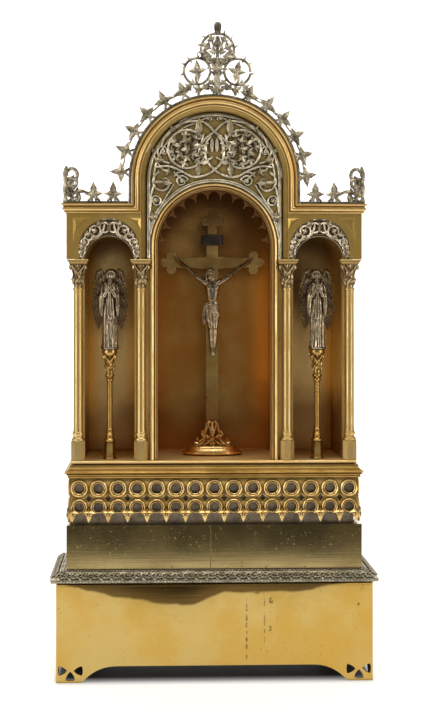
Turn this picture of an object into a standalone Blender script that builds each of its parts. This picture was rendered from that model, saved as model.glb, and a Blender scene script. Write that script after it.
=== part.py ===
"""Home altar: a three-bay brass cabinet on a stepped base, with silvered bronze openwork,
two angels and a standing crucifix. Metres, +Z up, front towards -Y, origin under the middle."""

import math

import bmesh
import bpy
from mathutils import Matrix, Vector
from mathutils.geometry import delaunay_2d_cdt

GAP = 0.0003  # clearance between pieces that touch
SHEET = 0.0015  # brass sheet of the cabinet
BACK = 0.0975  # every storey is flush with this plane behind

# Base storeys: half width and front plane of each, and the heights where they meet.
PLINTH_HALF, PLINTH_FRONT, PLINTH_TOP = 0.216, -0.0885, 0.1360
BAND_HALF, BAND_FRONT, BAND_TOP = 0.225, -0.0975, 0.1515
TIER_HALF, TIER_FRONT, TIER_TOP = 0.2025, -0.0750, 0.2120
FRIEZE_HALF, FRIEZE_FRONT, FRIEZE_TOP = 0.1985, -0.0710, 0.2755
CORNICE_HALF, CORNICE_FRONT, CORNICE_TOP = 0.206, -0.0785, 0.2952
FLOOR_HALF, FLOOR_FRONT, FLOOR_TOP = 0.1965, -0.0690, 0.2990

# Plinth apron and the pierced trefoils of its feet.
FOOT_LENGTH, APRON_RISE, APRON_SWEEP = 0.0347, 0.0223, 0.0520
PIERCED_RADIUS = 0.0066
PIERCED_PLACES = ((0.0075, 0.0167, 0), (0.0315, 0.0165, 180), (0.0192, 0.0080, 90))

# Ring frieze.
RING_PITCH, RING_COUNT, SIDE_RING_COUNT = 0.0265, 15, 6
RING_HOLE, ARCH_HOLE = 0.0075, 0.0072
RING_Z, ARCH_RING_Z, DIAMOND_Z = 0.2617, 0.2358, 0.2485
PENDANT_TIP_Z, PENDANT_LEAF_Z = 0.2145, 0.2290
GALLERY_THICKNESS = 0.0024

# Cabinet front.
BAY_X, INNER_COLUMN_X, OUTER_COLUMN_X = 0.1445, 0.1010, 0.1875
COLUMN_Y = -0.0590
WALL_HALF, LOWER_FRONT = 0.1930, -0.0480
IMPOST_TOP, UPPER_HALF, UPPER_FRONT = 0.5760, 0.2030, -0.0725
CROWN_BOTTOM, CROWN_TOP = 0.6390, 0.6520
ARCH_Z, CROWN_INNER, CROWN_OUTER = 0.6850, 0.1007, 0.1138
REVEAL_INNER, TYMPANUM_FRONT = 0.0938, -0.0640
NICHE_Z, MOULDING_INNER, MOULDING_OUTER, BORDER_OUTER = 0.5940, 0.0778, 0.0876, 0.0949
BAY_OUTER, BAY_OUTER_Z = 0.0412, 0.5898
BAY_INNER, BAY_INNER_Z = 0.0335, 0.5735
PANEL_TOP, PANEL_RADIUS, PANEL_REACH = 0.6322, 0.0515, (0.0492, 0.0462)
STRIP_OUTER = 0.1183

# Cresting.
LEAF_SPAN, LEAF_RADIUS, STRIP_DEPTH = 0.0115, 0.1290, 0.0030
LEAF_FIRST, LEAF_STEP, LEAF_SHIFT, LEAF_OUT = 3.8, 13.1, 1.2, 0.0014
FINIAL_LEAN, FINIAL_SHIFT = math.radians(0.6), 0.0034
FIGURE_SCALE = 1.065

# Figures and crucifix.
PEDESTAL_Y, PEDESTAL_TOP = -0.0400, 0.4510
CROSS_Y, CROSS_TOP, CROSS_FOOT = 0.0150, 0.6480, 0.3480
CROSS_ARM_Z, CROSS_ARM_REACH, CROSS_WIDTH, CROSS_DEPTH = 0.5735, 0.0745, 0.0172, 0.0030

BRASS = (0.72, 0.50, 0.20)
SILVER = (0.47, 0.43, 0.34)


# ---------------------------------------------------------------- shared ways of making


def metal(name, color, roughness):
    """A Principled metal."""
    made = bpy.data.materials.new(name)
    made.use_nodes = True
    shader = made.node_tree.nodes["Principled BSDF"]
    shader.inputs["Base Color"].default_value = (*color, 1.0)
    shader.inputs["Metallic"].default_value = 1.0
    shader.inputs["Roughness"].default_value = roughness
    return made


def add_object(name, bm, surface, smooth=True):
    """Turns a finished bmesh into a named object with its own copy of the metal."""
    bmesh.ops.recalc_face_normals(bm, faces=bm.faces)
    mesh = bpy.data.meshes.new(name)
    bm.to_mesh(mesh)
    bm.free()
    own = surface.copy()
    own.name = name + "_metal"
    mesh.materials.append(own)
    if smooth:
        mesh.shade_smooth()
        mesh.set_sharp_from_angle(angle=math.radians(35))
    obj = bpy.data.objects.new(name, mesh)
    bpy.context.collection.objects.link(obj)
    return obj


def block(bm, x, y, z):
    """Adds a box between the (low, high) pairs."""
    spans = (x, y, z)
    size = [high - low for low, high in spans]
    centre = [(high + low) / 2 for low, high in spans]
    matrix = Matrix.Translation(centre) @ Matrix.Diagonal((*size, 1.0))
    return bmesh.ops.create_cube(bm, size=1.0, matrix=matrix)["verts"]


def turned(bm, profile, sides, x=0.0, y=0.0):
    """Turns (radius, height) points, both ends on the axis, about the upright line at x, y."""
    verts = [bm.verts.new((x + radius, y, z)) for radius, z in profile]
    edges = [bm.edges.new(pair) for pair in zip(verts, verts[1:])]
    bmesh.ops.spin(
        bm, geom=verts + edges, cent=(x, y, 0), axis=(0, 0, 1), angle=math.tau, steps=sides,
        use_merge=True,
    )
    bmesh.ops.remove_doubles(bm, verts=bm.verts, dist=1e-5)


def skin(bm, rows, closed=False):
    """Joins rows of equal point counts into a tube with flat ends, or into a ring."""
    loops = [[bm.verts.new(point) for point in row] for row in rows]
    pairs = list(zip(loops, loops[1:]))
    if closed:
        pairs.append((loops[-1], loops[0]))
    for first, second in pairs:
        for i in range(len(first)):
            j = (i + 1) % len(first)
            bm.faces.new((first[i], first[j], second[j], second[i]))
    if not closed:
        bm.faces.new(loops[0])
        bm.faces.new(loops[-1])


def cut(obj, cutter_bm):
    """Subtracts a cutter mesh from obj and drops the cutter from the render."""
    bmesh.ops.recalc_face_normals(cutter_bm, faces=cutter_bm.faces)
    mesh = bpy.data.meshes.new(obj.name + "_cutter")
    cutter_bm.to_mesh(mesh)
    cutter_bm.free()
    cutter = bpy.data.objects.new(mesh.name, mesh)
    bpy.context.collection.objects.link(cutter)
    cutter.hide_render = True
    cutter.display_type = "WIRE"
    modifier = obj.modifiers.new("cut", "BOOLEAN")
    modifier.operation = "DIFFERENCE"
    modifier.object = cutter


# ---------------------------------------------------------------- outlines in the front plane


def arc(x, z, radius, start, end, steps):
    """Points on a circle, from one angle in degrees to another."""
    turns = [math.radians(start + (end - start) * i / steps) for i in range(steps + 1)]
    return [(x + radius * math.cos(t), z + radius * math.sin(t)) for t in turns]


def circle(x, z, radius, steps):
    return arc(x, z, radius, 0, 360, steps)[:-1]


def ribbon(points, width, end_width=None):
    """An outline of a strand that follows the points, tapering to its end width."""
    end_width = width if end_width is None else end_width
    left, right = [], []
    for i, point in enumerate(points):
        before, after = points[max(i - 1, 0)], points[min(i + 1, len(points) - 1)]
        along = Vector((after[0] - before[0], after[1] - before[1])).normalized()
        half = (width + (end_width - width) * i / (len(points) - 1)) / 2
        left.append((point[0] - along.y * half, point[1] + along.x * half))
        right.append((point[0] + along.y * half, point[1] - along.x * half))
    return left + right[::-1]


def hoop(x, z, radius, width, steps):
    """Two half rings that share their ends."""
    return [
        arc(x, z, radius + width / 2, a, a + 180, steps // 2)
        + arc(x, z, radius - width / 2, a + 180, a, steps // 2)
        for a in (0, 180)
    ]


def leaf(x, z, size, angle, lobes=((0, 1.0), (78, 0.85), (-78, 0.85)), waist=0.38, full=False):
    """A pointed ivy leaf: lobes are (angle, length) pairs, and full ones swell beside their tips."""
    lobes = sorted(lobes)
    swell = ((-12, 0.62), (0, 1.0), (12, 0.62)) if full else ((0, 1.0),)
    points = []
    for i, (turn, length) in enumerate(lobes):
        following = lobes[(i + 1) % len(lobes)][0] + (360 if i == len(lobes) - 1 else 0)
        points += [(turn + offset, length * reach) for offset, reach in swell]
        points.append(((turn + following) / 2, waist))
    return [
        (
            x + size * reach * math.cos(math.radians(angle + turn)),
            z + size * reach * math.sin(math.radians(angle + turn)),
        )
        for turn, reach in points
    ]


def lens(a, b, width):
    """A lance leaf between two points."""
    along = Vector(b) - Vector(a)
    side = Vector((-along.y, along.x)).normalized() * width / 2
    middle = Vector(a) + along * 0.45
    return [tuple(a), tuple(middle - side), tuple(b), tuple(middle + side)]


def thorn(root, tip, width):
    """A spike on a broad root."""
    along = Vector(tip) - Vector(root)
    side = Vector((-along.y, along.x)).normalized() * width / 2
    return [tuple(Vector(root) - side), tuple(tip), tuple(Vector(root) + side)]


def inside(outline, x, z):
    """Whether the point lies within the outline."""
    found = False
    for (ax, az), (bx, bz) in zip(outline, outline[1:] + outline[:1]):
        if (az > z) != (bz > z) and x < (bx - ax) * (z - az) / (bz - az) + ax:
            found = not found
    return found


def openwork(name, surface, solids, holes, front, thickness, peaks=(), smooth=False):
    """One flat casting: the union of the solid outlines, less the holes, raised at its peaks.

    peaks are (x, z, height) points of the front face that stand proud of it.
    """
    points, edges = [], []
    for outline in list(solids) + list(holes):
        first, count = len(points), len(outline)
        points += [Vector(p) for p in outline]
        edges += [(first + i, first + (i + 1) % count) for i in range(count)]
    points += [Vector((x, z)) for x, z, _ in peaks]
    verts, _, faces, *_ = delaunay_2d_cdt(points, edges, [], 0, 1e-6)
    bm = bmesh.new()
    made = [bm.verts.new((v[0], front, v[1])) for v in verts]
    for face in faces:
        x = sum(verts[i][0] for i in face) / len(face)
        z = sum(verts[i][1] for i in face) / len(face)
        if any(inside(s, x, z) for s in solids) and not any(inside(h, x, z) for h in holes):
            bm.faces.new([made[i] for i in face])
    bmesh.ops.delete(bm, geom=[v for v in bm.verts if not v.link_faces], context="VERTS")
    heights = {(round(x, 5), round(z, 5)): height for x, z, height in peaks}
    raised = []
    for vert in bm.verts:
        height = heights.get((round(vert.co.x, 5), round(vert.co.z, 5)))
        if height:
            raised.append((vert.co.x, vert.co.z, height))
            vert.co.y -= height
    tidy_flat(bm)
    face_front(bm)
    back = bmesh.ops.extrude_face_region(bm, geom=bm.faces[:])
    for vert in [e for e in back["geom"] if isinstance(e, bmesh.types.BMVert)]:
        vert.co.y = front + thickness
    tidy_flat(bm)
    return add_object(name, bm, surface, smooth)


def tidy_flat(bm):
    """Merges what lies flat, and drops points that no outline needs."""
    bmesh.ops.dissolve_limit(
        bm, angle_limit=math.radians(0.6), verts=bm.verts, edges=bm.edges, use_dissolve_boundaries=False
    )


def face_front(bm):
    bm.normal_update()
    for face in bm.faces:
        if face.normal.y > 0:
            face.normal_flip()


# ---------------------------------------------------------------- start


for stale in list(bpy.data.objects):
    bpy.data.objects.remove(stale)

brass = metal("polished_brass", BRASS, 0.22)
silver = metal("silvered_bronze", SILVER, 0.38)
dark = metal("patinated_brass", (0.16, 0.13, 0.10), 0.5)


# ---------------------------------------------------------------- base storeys


def plinth():
    """Open-bottomed sheet box on four bracket feet, pierced at its front feet."""
    bm = bmesh.new()
    block(bm, (-PLINTH_HALF, PLINTH_HALF), (PLINTH_FRONT, BACK), (0, PLINTH_TOP))
    obj = add_object("plinth", bm, brass, smooth=False)
    wall = SHEET * 1.25
    bm = bmesh.new()
    block(
        bm, (-PLINTH_HALF + wall, PLINTH_HALF - wall), (PLINTH_FRONT + wall, BACK - wall),
        (-0.01, PLINTH_TOP - wall),
    )
    cut(obj, bm)

    def apron(half):
        left = [(-half + FOOT_LENGTH - 0.002, -0.004)]
        for i in range(6):
            t = i / 5
            rise = APRON_RISE * (1 - (1 - t) ** 2.6)
            left.append((-half + FOOT_LENGTH + APRON_SWEEP * t, rise))
        return left + [(-x, z) for x, z in left[::-1]]

    def prism(outline, low, high, along_y):
        def place(u, z, depth):
            return (u, depth, z) if along_y else (depth, u, z)

        skin(bm, [[place(u, z, low) for u, z in outline], [place(u, z, high) for u, z in outline]])

    def pierced(u, z, turn):
        reach = ((0, 1.0), (60, 0.70))
        outline = []
        for k in range(3):
            for offset, r in reach:
                angle = math.radians(turn + 120 * k + offset)
                reach_now = PIERCED_RADIUS * r
                outline.append((u + reach_now * math.cos(angle), z + reach_now * math.sin(angle)))
        return outline

    middle = (PLINTH_FRONT + BACK) / 2
    side_half = (BACK - PLINTH_FRONT) / 2
    bm = bmesh.new()
    prism(apron(PLINTH_HALF), PLINTH_FRONT - 0.01, BACK + 0.01, True)
    cut(obj, bm)
    bm = bmesh.new()
    outline = [(u + middle, z) for u, z in apron(side_half)]
    prism(outline, -PLINTH_HALF - 0.01, PLINTH_HALF + 0.01, False)
    cut(obj, bm)
    bm = bmesh.new()
    for side in (-1, 1):
        outer = side * PLINTH_HALF
        for u, z, along in PIERCED_PLACES:
            turn = along if side < 0 else 180 - along
            prism(pierced(outer - side * u, z, turn), PLINTH_FRONT - 0.01, PLINTH_FRONT + 0.01, True)
    cut(obj, bm)


def three_sided(name, surface, rows, smooth=False):
    """A moulding along left side, front and right side.

    rows are (outward, height) points about the half width and front plane (0, 0, z).
    """
    outline, half, front = rows
    bm = bmesh.new()
    sections = []
    for x_sign, at_back in ((-1, True), (-1, False), (1, False), (1, True)):
        section = []
        for out, z in outline:
            section.append((x_sign * (half + out), BACK if at_back else front - out, z))
        sections.append(section)
    skin(bm, sections)
    return add_object(name, bm, surface, smooth)


def border_band():
    """Cast scroll border: a sloping band with rows of raised bosses, mitred at the corners."""
    z = PLINTH_TOP + GAP
    outline = [
        (0.0, z), (0.0, z + 0.0035), (-0.0012, z + 0.0052), (-0.0045, z + 0.0058),
        (-0.0118, z + 0.0112), (-0.0190, z + 0.0128), (-0.0225, z + 0.0150), (-0.030, z + 0.0150),
        (-0.030, z), (-0.027, z), (-0.027, z + 0.0120), (-0.0125, z + 0.0082), (-0.0030, z + 0.0030),
        (-0.0030, z),
    ]
    three_sided("border_band", dark, (outline, BAND_HALF, BAND_FRONT))


def tier_box():
    """Second storey: a sheet box that is open below and stands on the border."""
    inner = TIER_HALF - SHEET
    bm = bmesh.new()
    block(bm, (-TIER_HALF, TIER_HALF), (TIER_FRONT, BACK), (BAND_TOP + 2 * GAP, TIER_TOP))
    obj = add_object("tier_box", bm, brass, smooth=False)
    bm = bmesh.new()
    block(bm, (-inner, inner), (TIER_FRONT + SHEET, BACK - SHEET), (PLINTH_TOP, TIER_TOP - SHEET))
    cut(obj, bm)


def frieze():
    """Dark backing box behind three pierced brass galleries of rings and pendants."""
    z0 = TIER_TOP + GAP
    recess = 0.0062
    half = FRIEZE_HALF - recess
    front = FRIEZE_FRONT + recess
    bm = bmesh.new()
    block(bm, (-half, half), (front, BACK), (z0, FRIEZE_TOP - GAP))
    obj = add_object("frieze_backing", bm, dark, smooth=False)
    bm = bmesh.new()
    block(
        bm, (-half + SHEET, half - SHEET), (front + SHEET, BACK - SHEET), (z0 - 0.01, FRIEZE_TOP - SHEET),
    )
    cut(obj, bm)

    def gallery(name, count, half_run, ring_steps):
        """Rings above, pointed arch rings below, pendants between them."""
        solids, holes = [], []
        step = RING_PITCH
        first = -step * (count - 1) / 2
        lower = [(half_run, PENDANT_LEAF_Z), (half_run, FRIEZE_TOP), (-half_run, FRIEZE_TOP)]
        lower.append((-half_run, PENDANT_LEAF_Z))
        for i in range(count):
            x = first + step * i
            left, right = x - step / 2, x + step / 2
            if i == 0:
                lower += [(left + 0.0002, PENDANT_TIP_Z)]
            lower += [
                (left + 0.0040, PENDANT_LEAF_Z - 0.0056),
                (right - 0.0040, PENDANT_LEAF_Z - 0.0056), (right - 0.0002 * (i == count - 1), PENDANT_TIP_Z),
            ]
            holes.append(circle(x, RING_Z, RING_HOLE, ring_steps))
            arch = arc(x, ARCH_RING_Z, ARCH_HOLE, -20, 200, ring_steps // 2)
            holes.append(arch + [(x, ARCH_RING_Z - ARCH_HOLE * 0.95)])
            if i < count - 1 and count == RING_COUNT:
                wide, tall = 0.0040, 0.0048
                holes.append(
                    [(right - wide, DIAMOND_Z), (right, DIAMOND_Z - tall), (right + wide, DIAMOND_Z),
                     (right, DIAMOND_Z + tall)]
                )
        solids.append(lower)
        return openwork(name, brass, solids, holes, FRIEZE_FRONT, GALLERY_THICKNESS)

    gallery("frieze_front", RING_COUNT, FRIEZE_HALF, 8)
    depth = BACK - FRIEZE_FRONT - GALLERY_THICKNESS - GAP
    for name, side in (("frieze_left", -1), ("frieze_right", 1)):
        obj = gallery(name, SIDE_RING_COUNT, depth / 2, 6)
        mesh = obj.data
        mesh.transform(Matrix.Translation((0, -FRIEZE_FRONT, 0)))
        mesh.transform(Matrix.Rotation(math.radians(90 * side), 4, "Z"))
        mesh.transform(Matrix.Translation((side * FRIEZE_HALF, BACK - depth / 2, 0)))


def base_cornice():
    """Moulded shelf under the cabinet: three fillets, a sharp arris and a top fascia."""
    z = FRIEZE_TOP + GAP
    out = CORNICE_HALF
    outline = [
        (-0.016, z), (-0.0062, z), (-0.0050, z + 0.0022), (-0.0050, z + 0.0045), (-0.0022, z + 0.0060),
        (0.0, z + 0.0078), (-0.0010, z + 0.0100), (-0.0060, z + 0.0118), (-0.0072, z + 0.0150),
        (-0.0094, z + 0.0165), (-0.0094, CORNICE_TOP), (-0.016, CORNICE_TOP),
    ]
    three_sided("base_cornice", brass, (outline, out, CORNICE_FRONT))


def floor_plate():
    bm = bmesh.new()
    low = CORNICE_TOP + GAP
    verts = block(bm, (-FLOOR_HALF, FLOOR_HALF), (FLOOR_FRONT, BACK), (low, FLOOR_TOP))
    edges = {e for v in verts for e in v.link_edges if abs(e.verts[0].co.y - e.verts[1].co.y) < 1e-6}
    front = [e for e in edges if e.verts[0].co.y < 0 and abs(e.verts[0].co.z - e.verts[1].co.z) < 1e-6]
    bmesh.ops.bevel(
        bm, geom=front, offset=0.0008, segments=1, profile=0.5, affect="EDGES", material=-1
    )
    add_object("floor_plate", bm, brass, smooth=False)


# ---------------------------------------------------------------- cabinet carcass


def arch_outline(half, spring, foot, steps, x=0.0, z_centre=None):
    """An opening: jambs from the foot up to the springing and a half circle over them."""
    z_centre = spring if z_centre is None else z_centre
    return [(x + half, foot)] + arc(x, z_centre, half, 0, 180, steps) + [(x - half, foot)]


def cabinet_back():
    """Flat back sheet with a round head."""
    r = CROWN_INNER + 0.008
    outline = [(WALL_HALF, FLOOR_TOP + GAP), (WALL_HALF, CROWN_BOTTOM)]
    outline += [(r, CROWN_BOTTOM)] + arc(0, ARCH_Z, r, 0, 180, 14) + [(-r, CROWN_BOTTOM)]
    outline += [(-WALL_HALF, CROWN_BOTTOM), (-WALL_HALF, FLOOR_TOP + GAP)]
    openwork("cabinet_back", brass, [outline], [], BACK - SHEET, SHEET)


def side_walls():
    """Cabinet sides from the pilasters to the back."""
    for name, side in (("side_wall_left", -1), ("side_wall_right", 1)):
        bm = bmesh.new()
        outer, inner = side * WALL_HALF, side * (WALL_HALF - SHEET)
        y_span = (LOWER_FRONT + SHEET + GAP, BACK - SHEET - GAP)
        block(bm, (min(outer, inner), max(outer, inner)), y_span, (FLOOR_TOP + GAP, CROWN_BOTTOM))
        add_object(name, bm, brass, smooth=False)


def bent_niche(name, x, half, spring, steps):
    """A sheet bent into two walls and a half-round vault."""
    front, back = LOWER_FRONT + SHEET + GAP, BACK - SHEET - GAP
    foot = FLOOR_TOP + GAP
    inner = arch_outline(half, spring, foot, steps, x)
    outer = arch_outline(half + SHEET, spring, foot, steps, x)
    bm = bmesh.new()
    outline = inner + outer[::-1]
    skin(bm, [[(u, front, z) for u, z in outline], [(u, back, z) for u, z in outline]])
    return add_object(name, bm, brass)


def niches():
    bent_niche("niche_center", 0.0, MOULDING_OUTER - 0.001, NICHE_Z, 14)
    half = BAY_INNER + 0.0020
    bent_niche("niche_left", -BAY_X, half, IMPOST_TOP, 10)
    bent_niche("niche_right", BAY_X, half, IMPOST_TOP, 10)


def pilasters():
    """Flat strips behind the columns that close the niches' front edges."""
    inner_low = MOULDING_OUTER + GAP
    inner_high = BAY_X - BAY_INNER - 0.0010
    outer_low = BAY_X + BAY_INNER + 0.0010
    spans = (
        ("pilaster_outer_left", -WALL_HALF, -outer_low), ("pilaster_inner_left", -inner_high, -inner_low),
        ("pilaster_inner_right", inner_low, inner_high), ("pilaster_outer_right", outer_low, WALL_HALF),
    )
    for name, low, high in spans:
        bm = bmesh.new()
        block(bm, (low, high), (LOWER_FRONT, LOWER_FRONT + SHEET), (FLOOR_TOP + GAP, IMPOST_TOP - GAP))
        add_object(name, bm, brass, smooth=False)


def facade():
    """Upper front sheet over the columns with its three arches and sunk spandrel panels."""
    foot, top = IMPOST_TOP, CROWN_BOTTOM + 0.009
    r = CROWN_INNER + 0.009
    outline = [(UPPER_HALF, foot), (UPPER_HALF, top), (r, top)] + arc(0, ARCH_Z, r, 0, 180, 14)
    outline += [(-r, top), (-UPPER_HALF, top), (-UPPER_HALF, foot)]
    centre = arch_outline(CROWN_INNER, ARCH_Z, foot - 0.01, 14)
    bays = [
        arch_outline(BAY_OUTER + 0.0004, BAY_OUTER_Z, foot - 0.01, 10, side * BAY_X) for side in (-1, 1)
    ]
    obj = openwork("facade", brass, [outline], [centre] + bays, UPPER_FRONT, 0.0030)
    bm = bmesh.new()
    for side in (-1, 1):
        for way, reach in ((side, PANEL_REACH[0]), (-side, PANEL_REACH[1])):
            low_turn = math.degrees(math.acos(reach / PANEL_RADIUS))
            high_turn = math.degrees(math.asin((PANEL_TOP - BAY_OUTER_Z) / PANEL_RADIUS))
            curve = arc(0, BAY_OUTER_Z, PANEL_RADIUS, low_turn, high_turn, 3) + [(reach, PANEL_TOP)]
            panel = [(side * BAY_X + way * px, pz) for px, pz in curve]
            middle = sum((Vector(p) for p in panel), Vector((0, 0))) / len(panel)
            shallow = [tuple(middle + (Vector(p) - middle) * 0.56) for p in panel]
            skin(
                bm,
                [
                    [(px, UPPER_FRONT - 0.0005, pz) for px, pz in panel],
                    [(px, UPPER_FRONT + 0.0016, pz) for px, pz in shallow],
                ],
            )
    cut(obj, bm)


def swept_arch(name, surface, profile, centre_z, foot, steps, smooth=True):
    """A moulding that climbs one jamb, turns over the arch and comes down the other.

    profile is a closed outline of (radius, depth) points.
    """
    bm = bmesh.new()
    rows = [[(r, y, foot) for r, y in profile]]
    for angle in range(steps + 1):
        t = math.pi * angle / steps
        rows.append([(r * math.cos(t), y, centre_z + r * math.sin(t)) for r, y in profile])
    rows.append([(-r, y, foot) for r, y in profile])
    skin(bm, rows)
    return add_object(name, bm, surface, smooth)


def tympanum():
    """Reveal, ground and the silvered scrollwork between the great arch and the niche arch."""
    y = TYMPANUM_FRONT
    reveal = [
        (CROWN_INNER - GAP, UPPER_FRONT + 0.0006), (CROWN_INNER - GAP, UPPER_FRONT + 0.0030),
        (REVEAL_INNER, y + SHEET), (REVEAL_INNER, y - 0.0002),
    ]
    swept_arch("facade_reveal", brass, reveal, ARCH_Z, IMPOST_TOP, 14)
    edge = REVEAL_INNER - GAP
    outline = [(edge, IMPOST_TOP)] + arc(0, ARCH_Z, edge, 0, 180, 14) + [(-edge, IMPOST_TOP)]
    opening = arch_outline(MOULDING_OUTER + GAP, NICHE_Z, IMPOST_TOP - 0.01, 14)
    openwork("tympanum_ground", brass, [outline], [opening], y, SHEET)
    scrollwork()


def scrollwork():
    """Two linked wreaths of leaves, with tendrils, lances and corner scrolls, all one casting."""
    outer, border = REVEAL_INNER * math.cos(math.pi / 28) - GAP, 0.0040
    niche_edge = MOULDING_OUTER + 0.0006
    solids, peaks = [], []
    frame = arc(0, ARCH_Z, outer, 0, 180, 14) + arc(0, ARCH_Z, outer - border, 180, 0, 10)
    solids.append(frame)
    start = 8
    solids.append(
        arc(0, NICHE_Z, BORDER_OUTER - 0.001, start, 180 - start, 10)
        + arc(0, NICHE_Z, niche_edge, 180 - start, start, 14)
    )
    for side in (-1, 1):

        def at(x, z, side=side):
            return (side * x, z)

        solids.append([at(outer, IMPOST_TOP + 0.0003), at(outer, ARCH_Z), at(outer - border, ARCH_Z),
                       at(niche_edge + 0.0004, NICHE_Z + 0.02), at(niche_edge + 0.0004, IMPOST_TOP + 0.0003)])
        wreath_x, wreath_z, wreath_r = 0.0378, 0.7275, 0.0285
        solids.append(circle(side * wreath_x, wreath_z, wreath_r, 10))
        peaks.append((side * wreath_x, wreath_z, 0.0034))
        for k in range(5):
            t = math.radians(72 * k + 18)
            reach = wreath_r * 0.62
            peaks.append((side * (wreath_x + reach * math.cos(t)), wreath_z + reach * math.sin(t), 0.0026))
            t += math.radians(36)
            reach = wreath_r * 0.48
            peaks.append((side * (wreath_x + reach * math.cos(t)), wreath_z + reach * math.sin(t), 0.0003))
        solids.append(lens(at(0.0180, 0.7420), at(0.0195, 0.7690), 0.0066))
        solids.append(lens(at(0.0200, 0.7090), at(0.0215, 0.6870), 0.0066))
        over = [at(0.0, 0.7610), at(0.0140, 0.7665), at(0.0360, 0.7675), at(0.0590, 0.7540)]
        solids.append(ribbon([at(-0.0100, 0.7520)] + over, 0.0030, 0.0024))
        under = [at(-0.0130, 0.6880), at(0.0130, 0.7045), at(0.0330, 0.7030)]
        solids.append(ribbon(under, 0.0030))
        solids.append(lens(at(0.0012, 0.6920), at(0.0034, 0.7440), 0.0062))
        scroll_x, scroll_z, scroll_r = 0.0712, 0.6800, 0.0155
        solids.append(circle(side * scroll_x, scroll_z, scroll_r, 8))
        peaks.append((side * scroll_x, scroll_z, 0.0030))
        for k in range(4):
            t = math.radians(90 * k + 45)
            reach = scroll_r * 0.55
            peaks.append((side * (scroll_x + reach * math.cos(t)), scroll_z + reach * math.sin(t), 0.0004))
        climb = [at(0.0560, 0.6870), at(0.0690, 0.7020), at(0.0900, 0.6960)]
        solids.append(ribbon(climb, 0.0028))
        tail = [at(0.0760, 0.6680), at(0.0840, 0.6500), at(0.0900, 0.6300)]
        solids.append(ribbon(tail, 0.0030, 0.0060))
        solids.append(circle(side * 0.0735, 0.7270, 0.0074, 5))
        solids.append(circle(side * 0.0450, 0.6822, 0.0074, 5))
    openwork(
        "tympanum_scrollwork", silver, solids, [], TYMPANUM_FRONT - GAP - 0.0026, 0.0026, peaks
    )


def archivolts():
    """Silvered crescents over the side bays: a border round a row of leaf scrolls."""
    inner_z, rim = BAY_INNER_Z, 0.0020
    outer_half = BAY_OUTER - GAP
    rise = BAY_OUTER_Z - inner_z
    foot = IMPOST_TOP + GAP
    start = math.degrees(math.asin((foot - inner_z) / BAY_INNER))
    for name, side in (("archivolt_left", -1), ("archivolt_right", 1)):
        x = side * BAY_X
        crest = arc(x, BAY_OUTER_Z, outer_half, 0, 180, 8)
        under = arc(x, BAY_OUTER_Z, outer_half - rim, 180, 0, 6)
        solids = [
            [(x + outer_half, foot)] + crest + [(x - outer_half, foot), (x - outer_half + rim, foot)]
            + under + [(x + outer_half - rim, foot)],
            arc(x, inner_z, BAY_INNER + rim, start, 180 - start, 6)
            + arc(x, inner_z, BAY_INNER, 180 - start, start, 8),
        ]
        peaks = []
        for way in (-1, 1):
            for turn in (24, 54):
                t = math.radians(turn)
                reach = rise * math.cos(t) + math.sqrt(outer_half**2 - (rise * math.sin(t)) ** 2)
                middle, half = (reach + BAY_INNER) / 2, (reach - BAY_INNER) / 2
                cx, cz = x + way * middle * math.sin(t), inner_z + middle * math.cos(t)
                solids.append(leaf(cx, cz, half * 0.94, 90 - way * turn))
                peaks.append((cx, cz, 0.0014))
        solids.append(lens((x, inner_z + BAY_INNER), (x, BAY_OUTER_Z + outer_half - 0.001), 0.0060))
        openwork(name, silver, solids, [], UPPER_FRONT + 0.0012, 0.0022, peaks)


def arch_moulding():
    """Beaded brass moulding round the middle niche, standing on the floor."""
    r0, r1 = MOULDING_INNER, MOULDING_OUTER
    y = LOWER_FRONT
    profile = [
        (r0, y), (r0, y - 0.0125), (r0 + 0.0028, y - 0.0160), (r0 + 0.0046, y - 0.0148),
        (r0 + 0.0072, y - 0.0178), (r1, y - 0.0166), (r1, y),
    ]
    swept_arch("arch_moulding", brass, profile, NICHE_Z, FLOOR_TOP + GAP, 14)


def cusped_fringe():
    """Pointed cusps hanging inside the niche arch."""
    outer = MOULDING_INNER * math.cos(math.pi / 28) - GAP
    root, tip = MOULDING_INNER - 0.0026, MOULDING_INNER - 0.0102
    count = 12
    outline = arc(0, NICHE_Z, outer, 0, 180, 12)
    step = 180 / count
    inner = []
    for i in range(count):
        a = 180 - step * i
        inner.append((root, a))
        inner += [(root - 0.0012, a - step * 0.3), (tip, a - step * 0.5), (root - 0.0012, a - step * 0.7)]
    inner.append((root, 0))
    outline += [(r * math.cos(math.radians(a)), NICHE_Z + r * math.sin(math.radians(a))) for r, a in inner]
    openwork("cusped_fringe", brass, [outline], [], LOWER_FRONT - 0.0110, 0.0016)


def crown_moulding():
    """One moulding: along the sides and bays, up the legs and over the great arch."""
    profile = [
        (0.0, 0.0), (0.0, 0.0016), (0.0060, 0.0050), (0.0098, 0.0040), (0.0118, 0.0066), (0.0131, 0.0066),
        (0.0131, -0.0030), (0.0096, 0.0),
    ]
    side_gap = GAP
    bm = bmesh.new()

    def corner(side, at_back):
        points = []
        for u, v in profile:
            y = BACK if at_back else UPPER_FRONT - side_gap - v
            points.append((side * (UPPER_HALF + side_gap + v), y, CROWN_BOTTOM + u))
        return points

    def bend(side):
        return [
            (side * (CROWN_INNER + u), UPPER_FRONT - side_gap - v, CROWN_BOTTOM + u) for u, v in profile
        ]

    rows = [corner(-1, True), corner(-1, False), bend(-1)]
    steps = 14
    for i in range(steps + 1):
        t = math.pi - math.pi * i / steps
        row = []
        for u, v in profile:
            r = CROWN_INNER + u
            row.append((r * math.cos(t), UPPER_FRONT - side_gap - v, ARCH_Z + r * math.sin(t)))
        rows.append(row)
    rows += [bend(1), corner(1, False), corner(1, True)]
    skin(bm, rows)
    add_object("crown_moulding", bm, brass)


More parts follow.
